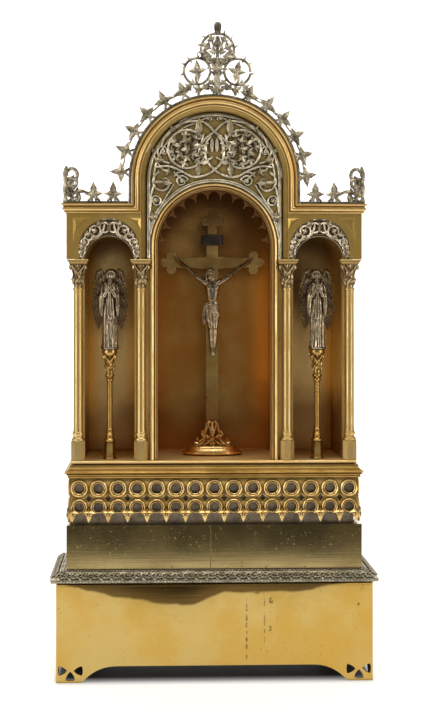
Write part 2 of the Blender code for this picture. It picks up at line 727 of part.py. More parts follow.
def roofs():
    """Barrel roof over the great arch and a flat cap over each bay."""
    front, back = UPPER_FRONT + 0.0034, BACK
    outer = CROWN_INNER + 0.0090
    foot = CROWN_BOTTOM + 2 * GAP
    bm = bmesh.new()
    shell = arch_outline(outer + SHEET + GAP, ARCH_Z, foot, 14)
    shell += arch_outline(outer + GAP, ARCH_Z, foot, 14)[::-1]
    skin(bm, [[(u, front, z) for u, z in shell], [(u, back, z) for u, z in shell]])
    add_object("arch_shell", bm, brass)
    inner_x = outer + SHEET + 2 * GAP
    for name, side in (("bay_roof_left", -1), ("bay_roof_right", 1)):
        bm = bmesh.new()
        span = sorted((side * inner_x, side * (UPPER_HALF - GAP)))
        block(bm, span, (front, back), (foot, foot + SHEET))
        add_object(name, bm, brass, smooth=False)


# ---------------------------------------------------------------- columns


def columns():
    """Four round columns on eight-sided blocks, with leafy capitals and stepped imposts."""
    block_top, base_top, neck, bell_top = 0.3265, 0.3460, 0.5380, 0.5690
    shaft = 0.0064
    places = (
        ("outer_left", -OUTER_COLUMN_X), ("inner_left", -INNER_COLUMN_X),
        ("inner_right", INNER_COLUMN_X), ("outer_right", OUTER_COLUMN_X),
    )
    for place, x in places:
        bm = bmesh.new()
        low = FLOOR_TOP + GAP
        radius = 0.0095 / math.cos(math.pi / 8)
        turned(bm, [(0, low), (radius, low), (radius, block_top - GAP), (0, block_top - GAP)], 8)
        bmesh.ops.rotate(bm, verts=bm.verts, cent=(0, 0, 0), matrix=Matrix.Rotation(math.pi / 8, 3, "Z"))
        bmesh.ops.translate(bm, verts=bm.verts, vec=(x, COLUMN_Y, 0))
        add_object("column_block_" + place, bm, brass, smooth=False)

        bm = bmesh.new()
        z = block_top
        profile = [
            (0, z), (0.0092, z), (0.0088, z + 0.0036), (0.0068, z + 0.0050), (0.0079, z + 0.0110),
            (shaft, base_top), (shaft, neck - GAP), (0, neck - GAP),
        ]
        turned(bm, profile, 8, x, COLUMN_Y)
        add_object("column_" + place, bm, brass)

        bm = bmesh.new()
        height = bell_top - neck
        levels = (
            (0.0, 0.0084, 0.0), (0.12, 0.0066, 0.0), (0.42, 0.0092, 0.0016), (0.50, 0.0078, -0.0006),
            (0.82, 0.0122, 0.0020), (1.0, 0.0112, 0.0),
        )
        sides = 8
        rows = []
        for part, radius, leafy in levels:
            row = []
            for k in range(sides):
                t = math.tau * (k + 0.5) / sides
                stand = radius + leafy * (1 if (k + (part > 0.5)) % 2 else -1)
                row.append((x + stand * math.cos(t), COLUMN_Y + stand * math.sin(t), neck + height * part))
            rows.append(row)
        skin(bm, rows)
        trim_behind(bm)
        if "inner" in place:
            trim_beside(bm, x)
        add_object("capital_" + place, bm, silver)

        bm = bmesh.new()
        z = bell_top + GAP
        profile = ((0.0120, z), (0.0130, z + 0.0024), (0.0145, z + 0.0042), (0.0145, IMPOST_TOP - GAP))
        rows = []
        for half, level in profile:
            rows.append(
                [(x - half, COLUMN_Y - half, level), (x + half, COLUMN_Y - half, level),
                 (x + half, COLUMN_Y + half, level), (x - half, COLUMN_Y + half, level)]
            )
        skin(bm, rows)
        trim_behind(bm)
        if "inner" in place:
            trim_beside(bm, x)
        add_object("impost_" + place, bm, brass, smooth=False)


def trim_behind(bm):
    """Cuts a capital or impost off flat where it meets the pilaster."""
    slice_flat(bm, (0, LOWER_FRONT - GAP, 0), (0, 1, 0))


def trim_beside(bm, x):
    """Cuts an inner impost where it meets the niche moulding."""
    side = 1 if x > 0 else -1
    slice_flat(bm, (side * (MOULDING_OUTER + GAP), 0, 0), (-side, 0, 0))


def slice_flat(bm, point, outward):
    """Removes what lies beyond a plane and closes the cut."""
    geom = bm.verts[:] + bm.edges[:] + bm.faces[:]
    bmesh.ops.bisect_plane(bm, geom=geom, plane_co=point, plane_no=outward, clear_outer=True)
    open_edges = [e for e in bm.edges if e.is_boundary]
    if open_edges:
        bmesh.ops.holes_fill(bm, edges=open_edges, sides=0)


def pedestals():
    """Slender turned stands with a leafy head, one in each side bay."""
    z = FLOOR_TOP + GAP
    for name, side in (("pedestal_left", -1), ("pedestal_right", 1)):
        bm = bmesh.new()
        profile = [
            (0, z), (0.0098, z), (0.0078, z + 0.0240), (0.0056, z + 0.0256), (0.0078, z + 0.0310),
            (0.0040, z + 0.0370), (0.0052, z + 0.0405), (0.0034, z + 0.0440), (0.0034, 0.4080),
            (0.0072, 0.4150), (0.0050, 0.4200), (0.0092, 0.4370), (0.0076, 0.4405), (0.0108, 0.4475),
            (0.0108, PEDESTAL_TOP), (0, PEDESTAL_TOP),
        ]
        turned(bm, profile, 6, side * BAY_X, PEDESTAL_Y)
        add_object(name, bm, brass)


# ---------------------------------------------------------------- figures


def ball(bm, centre, radii, segments=12, rings=8):
    matrix = Matrix.Translation(centre) @ Matrix.Diagonal((*radii, 1.0))
    bmesh.ops.create_uvsphere(bm, u_segments=segments, v_segments=rings, radius=1.0, matrix=matrix)


def limb(bm, start, end, start_radius, end_radius, sides=10):
    """A rounded, tapered limb between two joints."""
    start, end = Vector(start), Vector(end)
    turn = (end - start).to_track_quat("Z", "Y").to_matrix().to_4x4()
    matrix = Matrix.Translation((start + end) / 2) @ turn
    bmesh.ops.create_cone(
        bm, cap_ends=True, segments=sides, radius1=start_radius, radius2=end_radius,
        depth=(end - start).length, matrix=matrix,
    )
    ball(bm, start, (start_radius,) * 3, sides, 6)
    ball(bm, end, (end_radius,) * 3, sides, 6)


def draped(bm, levels, folds, sides=36):
    """Lofted cloth: levels are (z, x centre, y centre, half width, half depth, fold depth)."""
    rows = []
    for z, cx, cy, rx, ry, deep in levels:
        row = []
        for k in range(sides):
            t = math.tau * k / sides
            wave = 1 + deep * math.cos(folds * t + math.pi)
            row.append((cx + rx * wave * math.cos(t), cy + ry * wave * math.sin(t), z))
        rows.append(row)
    skin(bm, rows)


def fused(name, bm, surface, voxel, triangles):
    """Fuses overlapping forms into one casting of about the given number of triangles."""
    obj = add_object(name, bm, surface, smooth=True)
    remesh = obj.modifiers.new("fuse", "REMESH")
    remesh.mode = "VOXEL"
    remesh.voxel_size = voxel
    remesh.use_smooth_shade = True
    graph = bpy.context.evaluated_depsgraph_get()
    full = obj.evaluated_get(graph).to_mesh()
    full.calc_loop_triangles()
    thin = obj.modifiers.new("thin", "DECIMATE")
    thin.ratio = triangles / len(full.loop_triangles)
    return obj


def wing(bm, side):
    """A folded wing: short feathers at the shoulder over long ones that hang to the knee."""
    y = 0.0052
    outline = [
        (0.0050, 0.0960), (0.0085, 0.1040), (0.0125, 0.1070), (0.0170, 0.1010), (0.0205, 0.0880),
        (0.0230, 0.0740), (0.0228, 0.0520), (0.0205, 0.0360), (0.0160, 0.0270), (0.0130, 0.0290),
        (0.0110, 0.0440), (0.0080, 0.0680), (0.0045, 0.0820),
    ]
    rows = []
    for depth, scale in ((0.0030, 0.93), (0.0, 1.0), (-0.0034, 0.97), (-0.0042, 0.86)):
        row = []
        for px, pz in outline:
            bow = 0.0030 * ((px - 0.004) / 0.019) ** 2
            mx, mz = 0.0130, 0.0680
            row.append((side * (mx + (px - mx) * scale), y + depth + bow, mz + (pz - mz) * scale))
        rows.append(row)
    skin(bm, rows)


def angel(bm):
    """Standing angel with joined hands, long robe, full curled hair and folded wings."""
    bmesh.ops.create_cone(
        bm, cap_ends=True, segments=20, radius1=0.0116, radius2=0.0106, depth=0.0026,
        matrix=Matrix.Translation((0, 0, 0.0013)),
    )
    draped(
        bm,
        (
            (0.0020, 0.0, 0.0, 0.0108, 0.0098, 0.07), (0.0080, 0.0, 0.0, 0.0092, 0.0084, 0.09),
            (0.0260, 0.0, -0.0002, 0.0090, 0.0078, 0.08), (0.0480, 0.0, -0.0004, 0.0088, 0.0072, 0.06),
            (0.0640, 0.0, 0.0, 0.0076, 0.0060, 0.04), (0.0780, 0.0, 0.0, 0.0092, 0.0060, 0.02),
            (0.0840, 0.0, 0.0004, 0.0080, 0.0050, 0.0), (0.0890, 0.0, 0.0004, 0.0034, 0.0032, 0.0),
        ),
        9,
    )
    draped(
        bm,
        (
            (0.0310, -0.0004, -0.0056, 0.0030, 0.0022, 0.10),
            (0.0460, -0.0002, -0.0070, 0.0034, 0.0030, 0.12),
            (0.0640, 0.0, -0.0072, 0.0026, 0.0030, 0.10),
            (0.0740, 0.0, -0.0072, 0.0014, 0.0020, 0.05),
        ),
        5,
    )
    ball(bm, (0.0, -0.0012, 0.0960), (0.0044, 0.0050, 0.0058))
    limb(bm, (0, 0, 0.0860), (0, -0.0006, 0.0920), 0.0028, 0.0026)
    for k in range(11):
        t = math.pi * (-0.16 + 1.32 * k / 10)
        place = (0.0056 * math.cos(t), 0.0006, 0.0980 + 0.0054 * math.sin(t))
        ball(bm, place, (0.0025, 0.0034, 0.0025), 8, 6)
    for side in (-1, 1):
        limb(bm, (side * 0.0084, 0.0, 0.0820), (side * 0.0112, -0.0030, 0.0660), 0.0030, 0.0030)
        limb(bm, (side * 0.0112, -0.0034, 0.0660), (side * 0.0014, -0.0090, 0.0770), 0.0030, 0.0018)
        limb(bm, (side * 0.0010, -0.0092, 0.0765), (side * 0.0006, -0.0098, 0.0850), 0.0016, 0.0009)
        draped(
            bm,
            (
                (0.0380, side * 0.0098, -0.0030, 0.0022, 0.0030, 0.12),
                (0.0520, side * 0.0104, -0.0036, 0.0030, 0.0040, 0.12),
                (0.0680, side * 0.0098, -0.0036, 0.0036, 0.0040, 0.04),
            ),
            5, 20,
        )
        wing(bm, side)


def angels():
    for name, side in (("angel_left", -1), ("angel_right", 1)):
        bm = bmesh.new()
        angel(bm)
        stand = Matrix.Translation((side * BAY_X, PEDESTAL_Y, PEDESTAL_TOP + GAP + 0.0002))
        bmesh.ops.transform(bm, matrix=stand @ Matrix.Scale(FIGURE_SCALE, 4), verts=bm.verts)
        fused(name, bm, silver, 0.0007, 280)


def corpus():
    """Figure on the cross: arms raised to the beam, head bowed, knees together, loincloth."""
    y = CROSS_Y - CROSS_DEPTH / 2 - 0.0072
    bm = bmesh.new()
    shoulder_z, hip_z, knee_z, ankle_z = 0.5440, 0.5080, 0.4790, 0.4520
    draped(
        bm,
        (
            (0.5020, 0.0, y, 0.0082, 0.0056, 0.0), (0.5160, 0.0, y, 0.0074, 0.0052, 0.0),
            (0.5280, 0.0, y, 0.0090, 0.0062, 0.0), (0.5390, 0.0, y, 0.0104, 0.0062, 0.0),
            (0.5450, 0.0, y, 0.0092, 0.0048, 0.0), (0.5490, 0.0, y, 0.0040, 0.0034, 0.0),
        ),
        4, 20,
    )
    limb(bm, (0, y, 0.5460), (-0.0020, y - 0.0022, 0.5540), 0.0034, 0.0032)
    ball(bm, (-0.0030, y - 0.0036, 0.5590), (0.0052, 0.0058, 0.0066))
    for k in range(9):
        t = math.pi * (-0.25 + 1.5 * k / 8)
        place = (-0.0028 + 0.0056 * math.cos(t), y - 0.0016, 0.5604 + 0.0052 * math.sin(t))
        ball(bm, place, (0.0020,) * 3, 8, 6)
    for side, hand_x, hand_z in ((-1, -0.0508, 0.5770), (1, 0.0540, 0.5755)):
        elbow = (hand_x * 0.56, y + 0.0012, 0.5590)
        limb(bm, (side * 0.0090, y, shoulder_z - 0.0010), elbow, 0.0042, 0.0030)
        limb(bm, elbow, (hand_x * 0.94, y + 0.0046, hand_z - 0.0020), 0.0030, 0.0021)
        ball(bm, (hand_x, y + 0.0052, hand_z), (0.0034, 0.0018, 0.0032), 8, 6)
        hip = (side * 0.0044, y, hip_z - 0.0020)
        knee = (side * 0.0030 + 0.0008, y - 0.0044, knee_z)
        ankle = (side * 0.0018 + 0.0010, y + 0.0016, ankle_z)
        limb(bm, hip, knee, 0.0056, 0.0042)
        limb(bm, knee, ankle, 0.0040, 0.0024)
        limb(bm, ankle, (side * 0.0014 + 0.0010, y - 0.0022, ankle_z - 0.0095), 0.0024, 0.0018)
    draped(
        bm,
        (
            (0.4900, -0.0006, y - 0.0006, 0.0088, 0.0068, 0.08),
            (0.5000, 0.0, y - 0.0002, 0.0100, 0.0072, 0.08),
            (0.5120, 0.0, y, 0.0092, 0.0064, 0.06),
            (0.5190, 0.0, y, 0.0086, 0.0060, 0.02),
        ),
        9,
    )
    draped(
        bm,
        (
            (0.4840, -0.0112, y - 0.0010, 0.0020, 0.0022, 0.1),
            (0.5000, -0.0112, y - 0.0010, 0.0034, 0.0026, 0.12),
            (0.5150, -0.0090, y - 0.0010, 0.0030, 0.0026, 0.0),
        ),
        4, 16,
    )
    obj = fused("corpus", bm, silver, 0.0007, 290)
    flat = bmesh.new()
    block(flat, (-0.07, 0.07), (CROSS_Y - CROSS_DEPTH / 2 - GAP, CROSS_Y + 0.03), (0.43, 0.62))
    cut(obj, flat)


def crucifix():
    """Brass cross with trefoil ends, its title plaque, the figure and the openwork foot."""
    half = CROSS_WIDTH / 2
    solids = [
        [(-half, CROSS_FOOT), (half, CROSS_FOOT), (half, CROSS_TOP - 0.012), (-half, CROSS_TOP - 0.012)],
        [(-CROSS_ARM_REACH + 0.012, CROSS_ARM_Z - half), (CROSS_ARM_REACH - 0.012, CROSS_ARM_Z - half),
         (CROSS_ARM_REACH - 0.012, CROSS_ARM_Z + half), (-CROSS_ARM_REACH + 0.012, CROSS_ARM_Z + half)],
    ]
    lobe = 0.0066
    arm_tips = ((0, (CROSS_ARM_REACH, CROSS_ARM_Z)), (180, (-CROSS_ARM_REACH, CROSS_ARM_Z)))
    for way, tip in ((90, (0, CROSS_TOP)),) + arm_tips:
        forward = Vector((math.cos(math.radians(way)), math.sin(math.radians(way))))
        across = Vector((-forward.y, forward.x))
        for along, aside in ((-lobe, 0.0), (-0.0155, 0.0100), (-0.0155, -0.0100)):
            centre = Vector(tip) + forward * along + across * aside
            solids.append(circle(centre.x, centre.y, lobe, 6))
    openwork("cross", brass, solids, [], CROSS_Y - CROSS_DEPTH / 2, CROSS_DEPTH)
    plaque()
    corpus()
    crucifix_foot()


def plaque():
    """Dark title plate: a scroll with rolled ends and two rows of shallow strokes."""
    y = CROSS_Y - CROSS_DEPTH / 2 - GAP
    bm = bmesh.new()
    low, high, half = 0.5985, 0.6130, 0.0155
    front = [(-half, y - 0.0030), (-half + 0.0016, y - 0.0040), (-half + 0.0034, y - 0.0022),
             (half - 0.0034, y - 0.0022), (half - 0.0016, y - 0.0040), (half, y - 0.0030)]
    behind = [(x, min(depth + 0.0014, y)) for x, depth in front[::-1]]
    outline = front + behind
    skin(bm, [[(x, depth, low) for x, depth in outline], [(x, depth, high) for x, depth in outline]])
    add_object("title_plaque", bm, dark)


def crucifix_foot():
    """Pierced pyramid of volutes on a stepped oval base with a rim."""
    bm = bmesh.new()
    z = FLOOR_TOP + GAP
    levels = (
        (0.0, 0.0410, 0.0240), (0.0028, 0.0425, 0.0250), (0.0056, 0.0425, 0.0250), (0.0070, 0.0392, 0.0225),
        (0.0128, 0.0340, 0.0190),
    )
    rows = []
    for up, rx, ry in levels:
        rows.append(
            [
                (rx * math.cos(math.tau * k / 16), CROSS_Y + ry * math.sin(math.tau * k / 16), z + up)
                for k in range(16)
            ]
        )
    skin(bm, rows)
    base_top = z + levels[-1][0]
    skin(
        bm,
        [
            [(sx * rx, CROSS_Y + sy * ry, level) for sx, sy in ((-1, -1), (1, -1), (1, 1), (-1, 1))]
            for level, rx, ry in (
                (base_top - 0.001, 0.0270, 0.0150), (base_top + 0.0090, 0.0150, 0.0100),
                (base_top + 0.0240, 0.0100, 0.0070), (0.3475, 0.0076, 0.0050),
            )
        ],
    )
    obj = fuse_exact("crucifix_foot", bm)
    holes = bmesh.new()
    for low, high, wide, narrow in (
        (base_top + 0.0022, base_top + 0.0085, 0.0110, 0.0050),
        (base_top + 0.0130, base_top + 0.0225, 0.0034, 0.0060),
    ):
        skin(
            holes,
            [
                [(-wide, y, low), (wide, y, low), (narrow, y, high), (-narrow, y, high)]
                for y in (CROSS_Y - 0.03, CROSS_Y + 0.03)
            ],
        )
    cut(obj, holes)


def fuse_exact(name, bm):
    """Joins overlapping closed shells into one body."""
    obj = add_object(name, bm, brass, smooth=False)
    helper_bm = bmesh.new()
    y_span = (CROSS_Y - 0.001, CROSS_Y + 0.001)
    block(helper_bm, (-0.001, 0.001), y_span, (FLOOR_TOP + 0.005, FLOOR_TOP + 0.006))
    mesh = bpy.data.meshes.new(name + "_helper")
    helper_bm.to_mesh(mesh)
    helper_bm.free()
    helper = bpy.data.objects.new(mesh.name, mesh)
    bpy.context.collection.objects.link(helper)
    helper.hide_render = True
    helper.display_type = "WIRE"
    join = obj.modifiers.new("join", "BOOLEAN")
    join.operation = "UNION"
    join.use_self = True
    join.object = helper
    return obj


# ---------------------------------------------------------------- cresting


def cresting_arch():
    """Silvered strip over the great arch with ivy leaves on short stems."""
    inner, outer = CROWN_OUTER + GAP, STRIP_OUTER
    foot = CROWN_TOP + 2 * GAP
    solids = [
        [(outer, foot)] + arc(0, ARCH_Z, outer, 0, 180, 16) + [(-outer, foot), (-inner, foot)]
        + arc(0, ARCH_Z, inner, 180, 0, 14) + [(inner, foot)]
    ]
    peaks = []
    for side in (-1, 1):
        for k in range(6):
            degrees = LEAF_FIRST - side * LEAF_SHIFT + LEAF_STEP * k
            angle = degrees if side > 0 else 180 - degrees
            t = math.radians(angle)
            reach = LEAF_RADIUS - side * LEAF_OUT
            cx, cz = reach * math.cos(t), ARCH_Z + reach * math.sin(t)
            solids.append(leaf(cx, cz, LEAF_SPAN * 1.18, angle))
            peaks.append((cx, cz, 0.0016))
            root = ((outer - 0.001) * math.cos(t), ARCH_Z + (outer - 0.001) * math.sin(t))
            solids.append(thorn(root, (cx, cz), 0.0064))
    openwork("cresting_arch", silver, solids, [], UPPER_FRONT + 0.0004, STRIP_DEPTH, peaks)


def cresting_bays():
    """Level strips with two ivy leaves and a standing knot of scrolls at each corner."""
    foot = CROWN_TOP + GAP
    top = foot + 0.0034
    for name, side in (("cresting_left", -1), ("cresting_right", 1)):
        inner, outer = STRIP_OUTER + GAP, UPPER_HALF + 0.0045
        solids, peaks = [], []
        solids.append([(side * inner, foot), (side * outer, foot), (side * outer, top), (side * inner, top)])
        previous = None
        for x in (0.1390, 0.1655):
            cx, cz = side * x, top + 0.0112
            solids.append(leaf(cx, cz, LEAF_SPAN * 1.35, 90))
            peaks.append((cx, cz, 0.0016))
            for way in (-1, 1):
                solids.append(thorn((cx + way * 0.0060, top - 0.001), (cx, cz), 0.0046))
            if previous:
                solids.append(lens(previous, (cx, cz), 0.0026))
            previous = (cx, cz)
        knot = 0.1965
        solids.append(lens(previous, (side * (knot + 0.001), top + 0.0150), 0.0030))
        solids += hoop(side * (knot - 0.0050), top + 0.0068, 0.0062, 0.0030, 6)
        solids += hoop(side * knot, top + 0.0385, 0.0068, 0.0030, 6)
        stem_foot, stem_top = (side * (knot + 0.0070), top - 0.001), (side * (knot + 0.0072), top + 0.047)
        solids.append(ribbon([stem_foot, stem_top], 0.0036))
        twist = [(side * (knot - x), top + z) for x, z in ((0.008, 0), (0.002, 0.020), (0.006, 0.033))]
        solids.append(ribbon(twist, 0.0034, 0.0026))
        solids.append(leaf(side * knot, top + 0.0300, 0.0088, 90))
        openwork(name, silver, solids, [], UPPER_FRONT + 0.0004, STRIP_DEPTH, peaks)


def top_finial():
    """Pyramid of three thorny hoops with leaves and a bud, leaning a little to one side."""
    foot = ARCH_Z + STRIP_OUTER + GAP
    solids, peaks = [], []
    low_x, low_z, low_r = 0.0277, 0.8339, 0.0180
    top_z, top_r = 0.8638, 0.0226
    for side in (-1, 1):
        x = side * low_x
        solids += hoop(x, low_z, low_r, 0.0028, 8)
        solids.append(leaf(x - side * 0.0006, low_z, 0.0150, 90 if side > 0 else 100))
        solids.append(ribbon([(x - side * 0.0006, low_z), (x, low_z - low_r)], 0.0024))
        peaks.append((x - side * 0.0006, low_z, 0.0018))
        for turn in (35,):
            angle = turn if side > 0 else 180 - turn
            t = math.radians(angle)
            a = (x + low_r * math.cos(t), low_z + low_r * math.sin(t))
            b = (x + (low_r + 0.0056) * math.cos(t), low_z + (low_r + 0.0056) * math.sin(t))
            solids.append(thorn(a, b, 0.0034))
        for turn in (8, 45):
            t = math.radians(turn if side > 0 else 180 - turn)
            a = (top_r * math.cos(t), top_z + top_r * math.sin(t))
            b = ((top_r + 0.0056) * math.cos(t), top_z + (top_r + 0.0056) * math.sin(t))
            solids.append(thorn(a, b, 0.0034))
        solids.append(ribbon([(0, 0.8180), (side * 0.0060, 0.8420), (side * 0.0170, 0.8540)], 0.0030))
        curl = [(side * 0.0030, 0.8120), (side * 0.0150, 0.8150), (side * 0.0240, 0.8070)]
        solids.append(ribbon(curl, 0.0030))
        solids.append(ribbon([(side * 0.0250, 0.8160), (side * 0.0240, foot - 0.0060)], 0.0090, 0.0110))
        solids.append(leaf(side * 0.0085, 0.8600, 0.0120, 90 - side * 62))
    solids += hoop(0, top_z, top_r, 0.0028, 10)
    solids.append(ribbon([(0, foot - 0.0010), (0, 0.8500)], 0.0070, 0.0060))
    solids.append(lens((0, 0.8460), (0, 0.8860), 0.0150))
    solids.append(ribbon([(0, 0.8840), (0, 0.8900), (0, 0.8985)], 0.0060, 0.0090))
    solids.append([(-0.0045, 0.8984), (0.0045, 0.8984), (0.0030, 0.9030), (-0.0030, 0.9030)])
    peaks.append((0, 0.8640, 0.0034))
    edge, lean = STRIP_OUTER + 2 * GAP, math.sin(FINIAL_LEAN)

    def above_strip(x, z):
        return (x, max(z, ARCH_Z + math.sqrt(edge**2 - (x + FINIAL_SHIFT) ** 2) + x * lean))

    trimmed = [[above_strip(x, z) for x, z in outline] for outline in solids]
    obj = openwork("top_finial", silver, trimmed, [], UPPER_FRONT + 0.0004, STRIP_DEPTH, peaks)
    about = Matrix.Translation((FINIAL_SHIFT, 0, foot)) @ Matrix.Rotation(FINIAL_LEAN, 4, "Y")
    obj.data.transform(about @ Matrix.Translation((0, 0, -foot)))


# ---------------------------------------------------------------- put together


plinth()
border_band()
tier_box()
frieze()
base_cornice()
floor_plate()
cabinet_back()
side_walls()
niches()
pilasters()
facade()
tympanum()
archivolts()
arch_moulding()
cusped_fringe()
crown_moulding()
roofs()
columns()
pedestals()
angels()
crucifix()
cresting_arch()
cresting_bays()
top_finial()
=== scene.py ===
"""Home altar of polished brass and silvered bronze, dressed for the camera.

The sections follow the altar as it is put together, from the floor it stands on to the finial.
"""

import math

import bmesh
import bpy
from mathutils import Matrix, Vector


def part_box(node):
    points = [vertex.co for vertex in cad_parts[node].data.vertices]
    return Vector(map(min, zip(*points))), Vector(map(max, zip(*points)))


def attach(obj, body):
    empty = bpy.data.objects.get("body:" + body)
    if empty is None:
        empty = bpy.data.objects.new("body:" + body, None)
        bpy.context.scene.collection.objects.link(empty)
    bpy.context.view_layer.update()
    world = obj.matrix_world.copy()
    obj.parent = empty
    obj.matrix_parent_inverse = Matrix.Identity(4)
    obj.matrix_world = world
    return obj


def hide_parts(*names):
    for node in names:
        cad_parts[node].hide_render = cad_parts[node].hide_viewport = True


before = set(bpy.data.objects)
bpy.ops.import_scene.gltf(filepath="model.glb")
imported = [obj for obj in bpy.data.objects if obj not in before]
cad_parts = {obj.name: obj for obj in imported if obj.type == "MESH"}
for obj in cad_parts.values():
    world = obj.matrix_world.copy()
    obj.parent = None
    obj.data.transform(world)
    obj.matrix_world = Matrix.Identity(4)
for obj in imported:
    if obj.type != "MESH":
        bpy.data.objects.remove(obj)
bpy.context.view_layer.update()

# ------------------------------------------------------------------ studio
# A pale floor runs to a white wall far behind. A tall soft light stands on each side, a broad
# one hangs above, and a weak one and a low card of light are by the camera. The room behind
# the camera stays dark. A shadow is painted under the altar, and the flat brass mirrors its edge.

EYE = Vector((-0.0845, -2.1955, 0.52))
TURN = math.radians(2.22)
LENS, DROP = 77.4, -0.0833


def add_object(name, data):
    """A new object in the scene."""
    made = bpy.data.objects.new(name, data)
    bpy.context.scene.collection.objects.link(made)
    return made


camera = add_object("camera", bpy.data.cameras.new("camera"))
camera.data.lens = LENS
camera.data.sensor_width = 36.0
camera.data.shift_y = DROP
camera.location = EYE
camera.rotation_euler = (math.radians(90), 0.0, -TURN)
bpy.context.scene.camera = camera
bpy.context.scene.view_settings.view_transform = "Standard"

world = bpy.data.worlds.new("dark_room")
world.use_nodes = True
world.node_tree.nodes["Background"].inputs["Color"].default_value = (0.20, 0.19, 0.17, 1.0)
world.node_tree.nodes["Background"].inputs["Strength"].default_value = 0.30
bpy.context.scene.world = world


def soft_light(name, place, target, width, height, power):
    """A rectangular soft light that faces a target point."""
    lamp = bpy.data.lights.new(name, "AREA")
    lamp.shape = "RECTANGLE"
    lamp.size, lamp.size_y = width, height
    lamp.energy = power
    lamp.color = (1.0, 0.97, 0.92)
    holder = add_object(name, lamp)
    holder.location = place
    holder.rotation_euler = (Vector(target) - Vector(place)).to_track_quat("-Z", "Y").to_euler()


soft_light("softbox_left", (-1.65, -1.25, 0.85), (0, 0, 0.45), 0.9, 1.9, 16)
soft_light("softbox_right", (1.60, -1.35, 0.85), (0, 0, 0.45), 0.8, 1.9, 14)
soft_light("softbox_top", (0.0, -0.5, 2.1), (0, 0, 0.4), 1.8, 1.0, 17)
soft_light("fill_low", (0.0, -2.8, 0.9), (0, 0, 0.45), 0.9, 0.5, 0.9)
soft_light("front_card", (0.0, -2.8, 0.44), (0, 0, 0.44), 1.6, 0.76, 1.2)


def feed(node, inputs):
    """Sets inputs of a node: each to a value, a socket, or the first output of another node."""
    for name, value in inputs.items():
        if isinstance(value, bpy.types.Node):
            value = next(socket for socket in value.outputs if socket.enabled)
        if isinstance(value, bpy.types.NodeSocket):
            node.id_data.links.new(value, node.inputs[name])
        else:
            node.inputs[name].default_value = value


def add_node(tree, kind, inputs, **settings):
    """A new shader node with its settings and inputs."""
    node = tree.nodes.new("ShaderNode" + kind)
    for name, value in settings.items():
        setattr(node, name, value)
    feed(node, inputs)
    return node


def blend(tree, factor, low, high, **settings):
    """A mix of two colours, given as tones or sockets."""
    tones = {name: (*tone, 1.0) if isinstance(tone, tuple) else tone for name, tone in (("A", low), ("B", high))}
    return add_node(tree, "Mix", {"Factor": factor, **tones}, data_type="RGBA", **settings)


def span(tree, value, low, high, kind="SMOOTHSTEP", **ends):
    """How far a value is on its way from low to high, as a share from 0 to 1 or between ends."""
    inputs = {"Value": value, "From Min": low, "From Max": high}
    inputs.update((name.replace("_", " "), end) for name, end in ends.items())
    return add_node(tree, "MapRange", inputs, interpolation_type=kind)


def reckon(tree, kind, *values, **settings):
    """One step of arithmetic between values and nodes."""
    return add_node(tree, "Math", dict(enumerate(values)), operation=kind, **settings)


def point_on(tree):
    """Where a point lies on the object, as a vector and as its parts."""
    spot = add_node(tree, "TexCoord", {}).outputs["Object"]
    return spot, add_node(tree, "SeparateXYZ", {"Vector": spot}).outputs


def new_material(name):
    """A material with nodes, its tree and its shader."""
    made = bpy.data.materials.new(name)
    made.use_nodes = True
    return made, made.node_tree, made.node_tree.nodes["Principled BSDF"]


def mesh_of(name, bm):
    """Turns a bmesh into a mesh and frees it."""
    mesh = bpy.data.meshes.new(name)
    bm.to_mesh(mesh)
    bm.free()
    return mesh


def plain_surface(name, size, place, turn, tone, roughness, glow, painted_shadow=0.0):
    """A flat piece of the studio set with a slightly uneven paper surface.

    It glows evenly, except where a shadow is painted round the origin: there it is painted dark and loses its glow, by
    the share given last.
    """
    bm = bmesh.new()
    bmesh.ops.create_grid(bm, x_segments=1, y_segments=1, size=1.0)
    bmesh.ops.scale(bm, vec=(size[0] / 2, size[1] / 2, 1.0), verts=bm.verts)
    bmesh.ops.rotate(bm, cent=(0, 0, 0), matrix=Matrix.Rotation(turn, 3, "X"), verts=bm.verts)
    bmesh.ops.translate(bm, vec=place, verts=bm.verts)
    mesh = mesh_of(name, bm)
    paper, tree, shader = new_material(name)
    spot, split = point_on(tree)
    # Painted shadow under the altar: the floor is painted near black there and its glow is taken away.
    for axis, outside, inside in (
        ("X", 0.2225, 0.2125), ("X", -0.2225, -0.2125), ("Y", -0.110, -0.052), ("Y", 0.100, 0.080),
    ):
        painted_shadow = reckon(tree, "MULTIPLY", painted_shadow, span(tree, split[axis], outside, inside))
    noise = add_node(tree, "TexNoise", {"Vector": spot, "Scale": 5.0})
    uneven = blend(tree, noise, tone, tuple(c * 0.97 for c in tone))
    feed(shader, {
        "Base Color": blend(tree, painted_shadow, uneven, (0.012, 0.012, 0.014)), "Roughness": roughness,
        "Emission Color": (1.0, 1.0, 1.0, 1.0),
        "Emission Strength": span(tree, painted_shadow, 0.0, 1.0, "LINEAR", To_Min=glow, To_Max=0.0),
    })
    mesh.materials.append(paper)
    surface = add_object(name, mesh)


plain_surface("floor", (5.0, 3.05), (0, 0.475, -0.0002), 0.0, (0.90, 0.90, 0.91), 0.6, 0.50, 1.0)
plain_surface("floor_behind", (5.0, 4.0), (0, 4.0, -0.0002), 0.0, (0.90, 0.90, 0.91), 0.6, 0.95)
plain_surface("wall", (24.0, 14.0), (0, 6.0, 5.0), math.radians(90), (0.95, 0.95, 0.95), 0.8, 1.0)

# ------------------------------------------------------------------ plinth
# The lowest storey is a box of thin brass sheet on four bracket feet. Its front is cut out
# below in a flat apron, and each front foot is pierced by three bulged triangles. Old polish
# has left the metal wavy, and below the border a dark reflection is painted on to a wavy edge.

SHEET, GAP, BACK = 0.0015, 0.0003, 0.0975


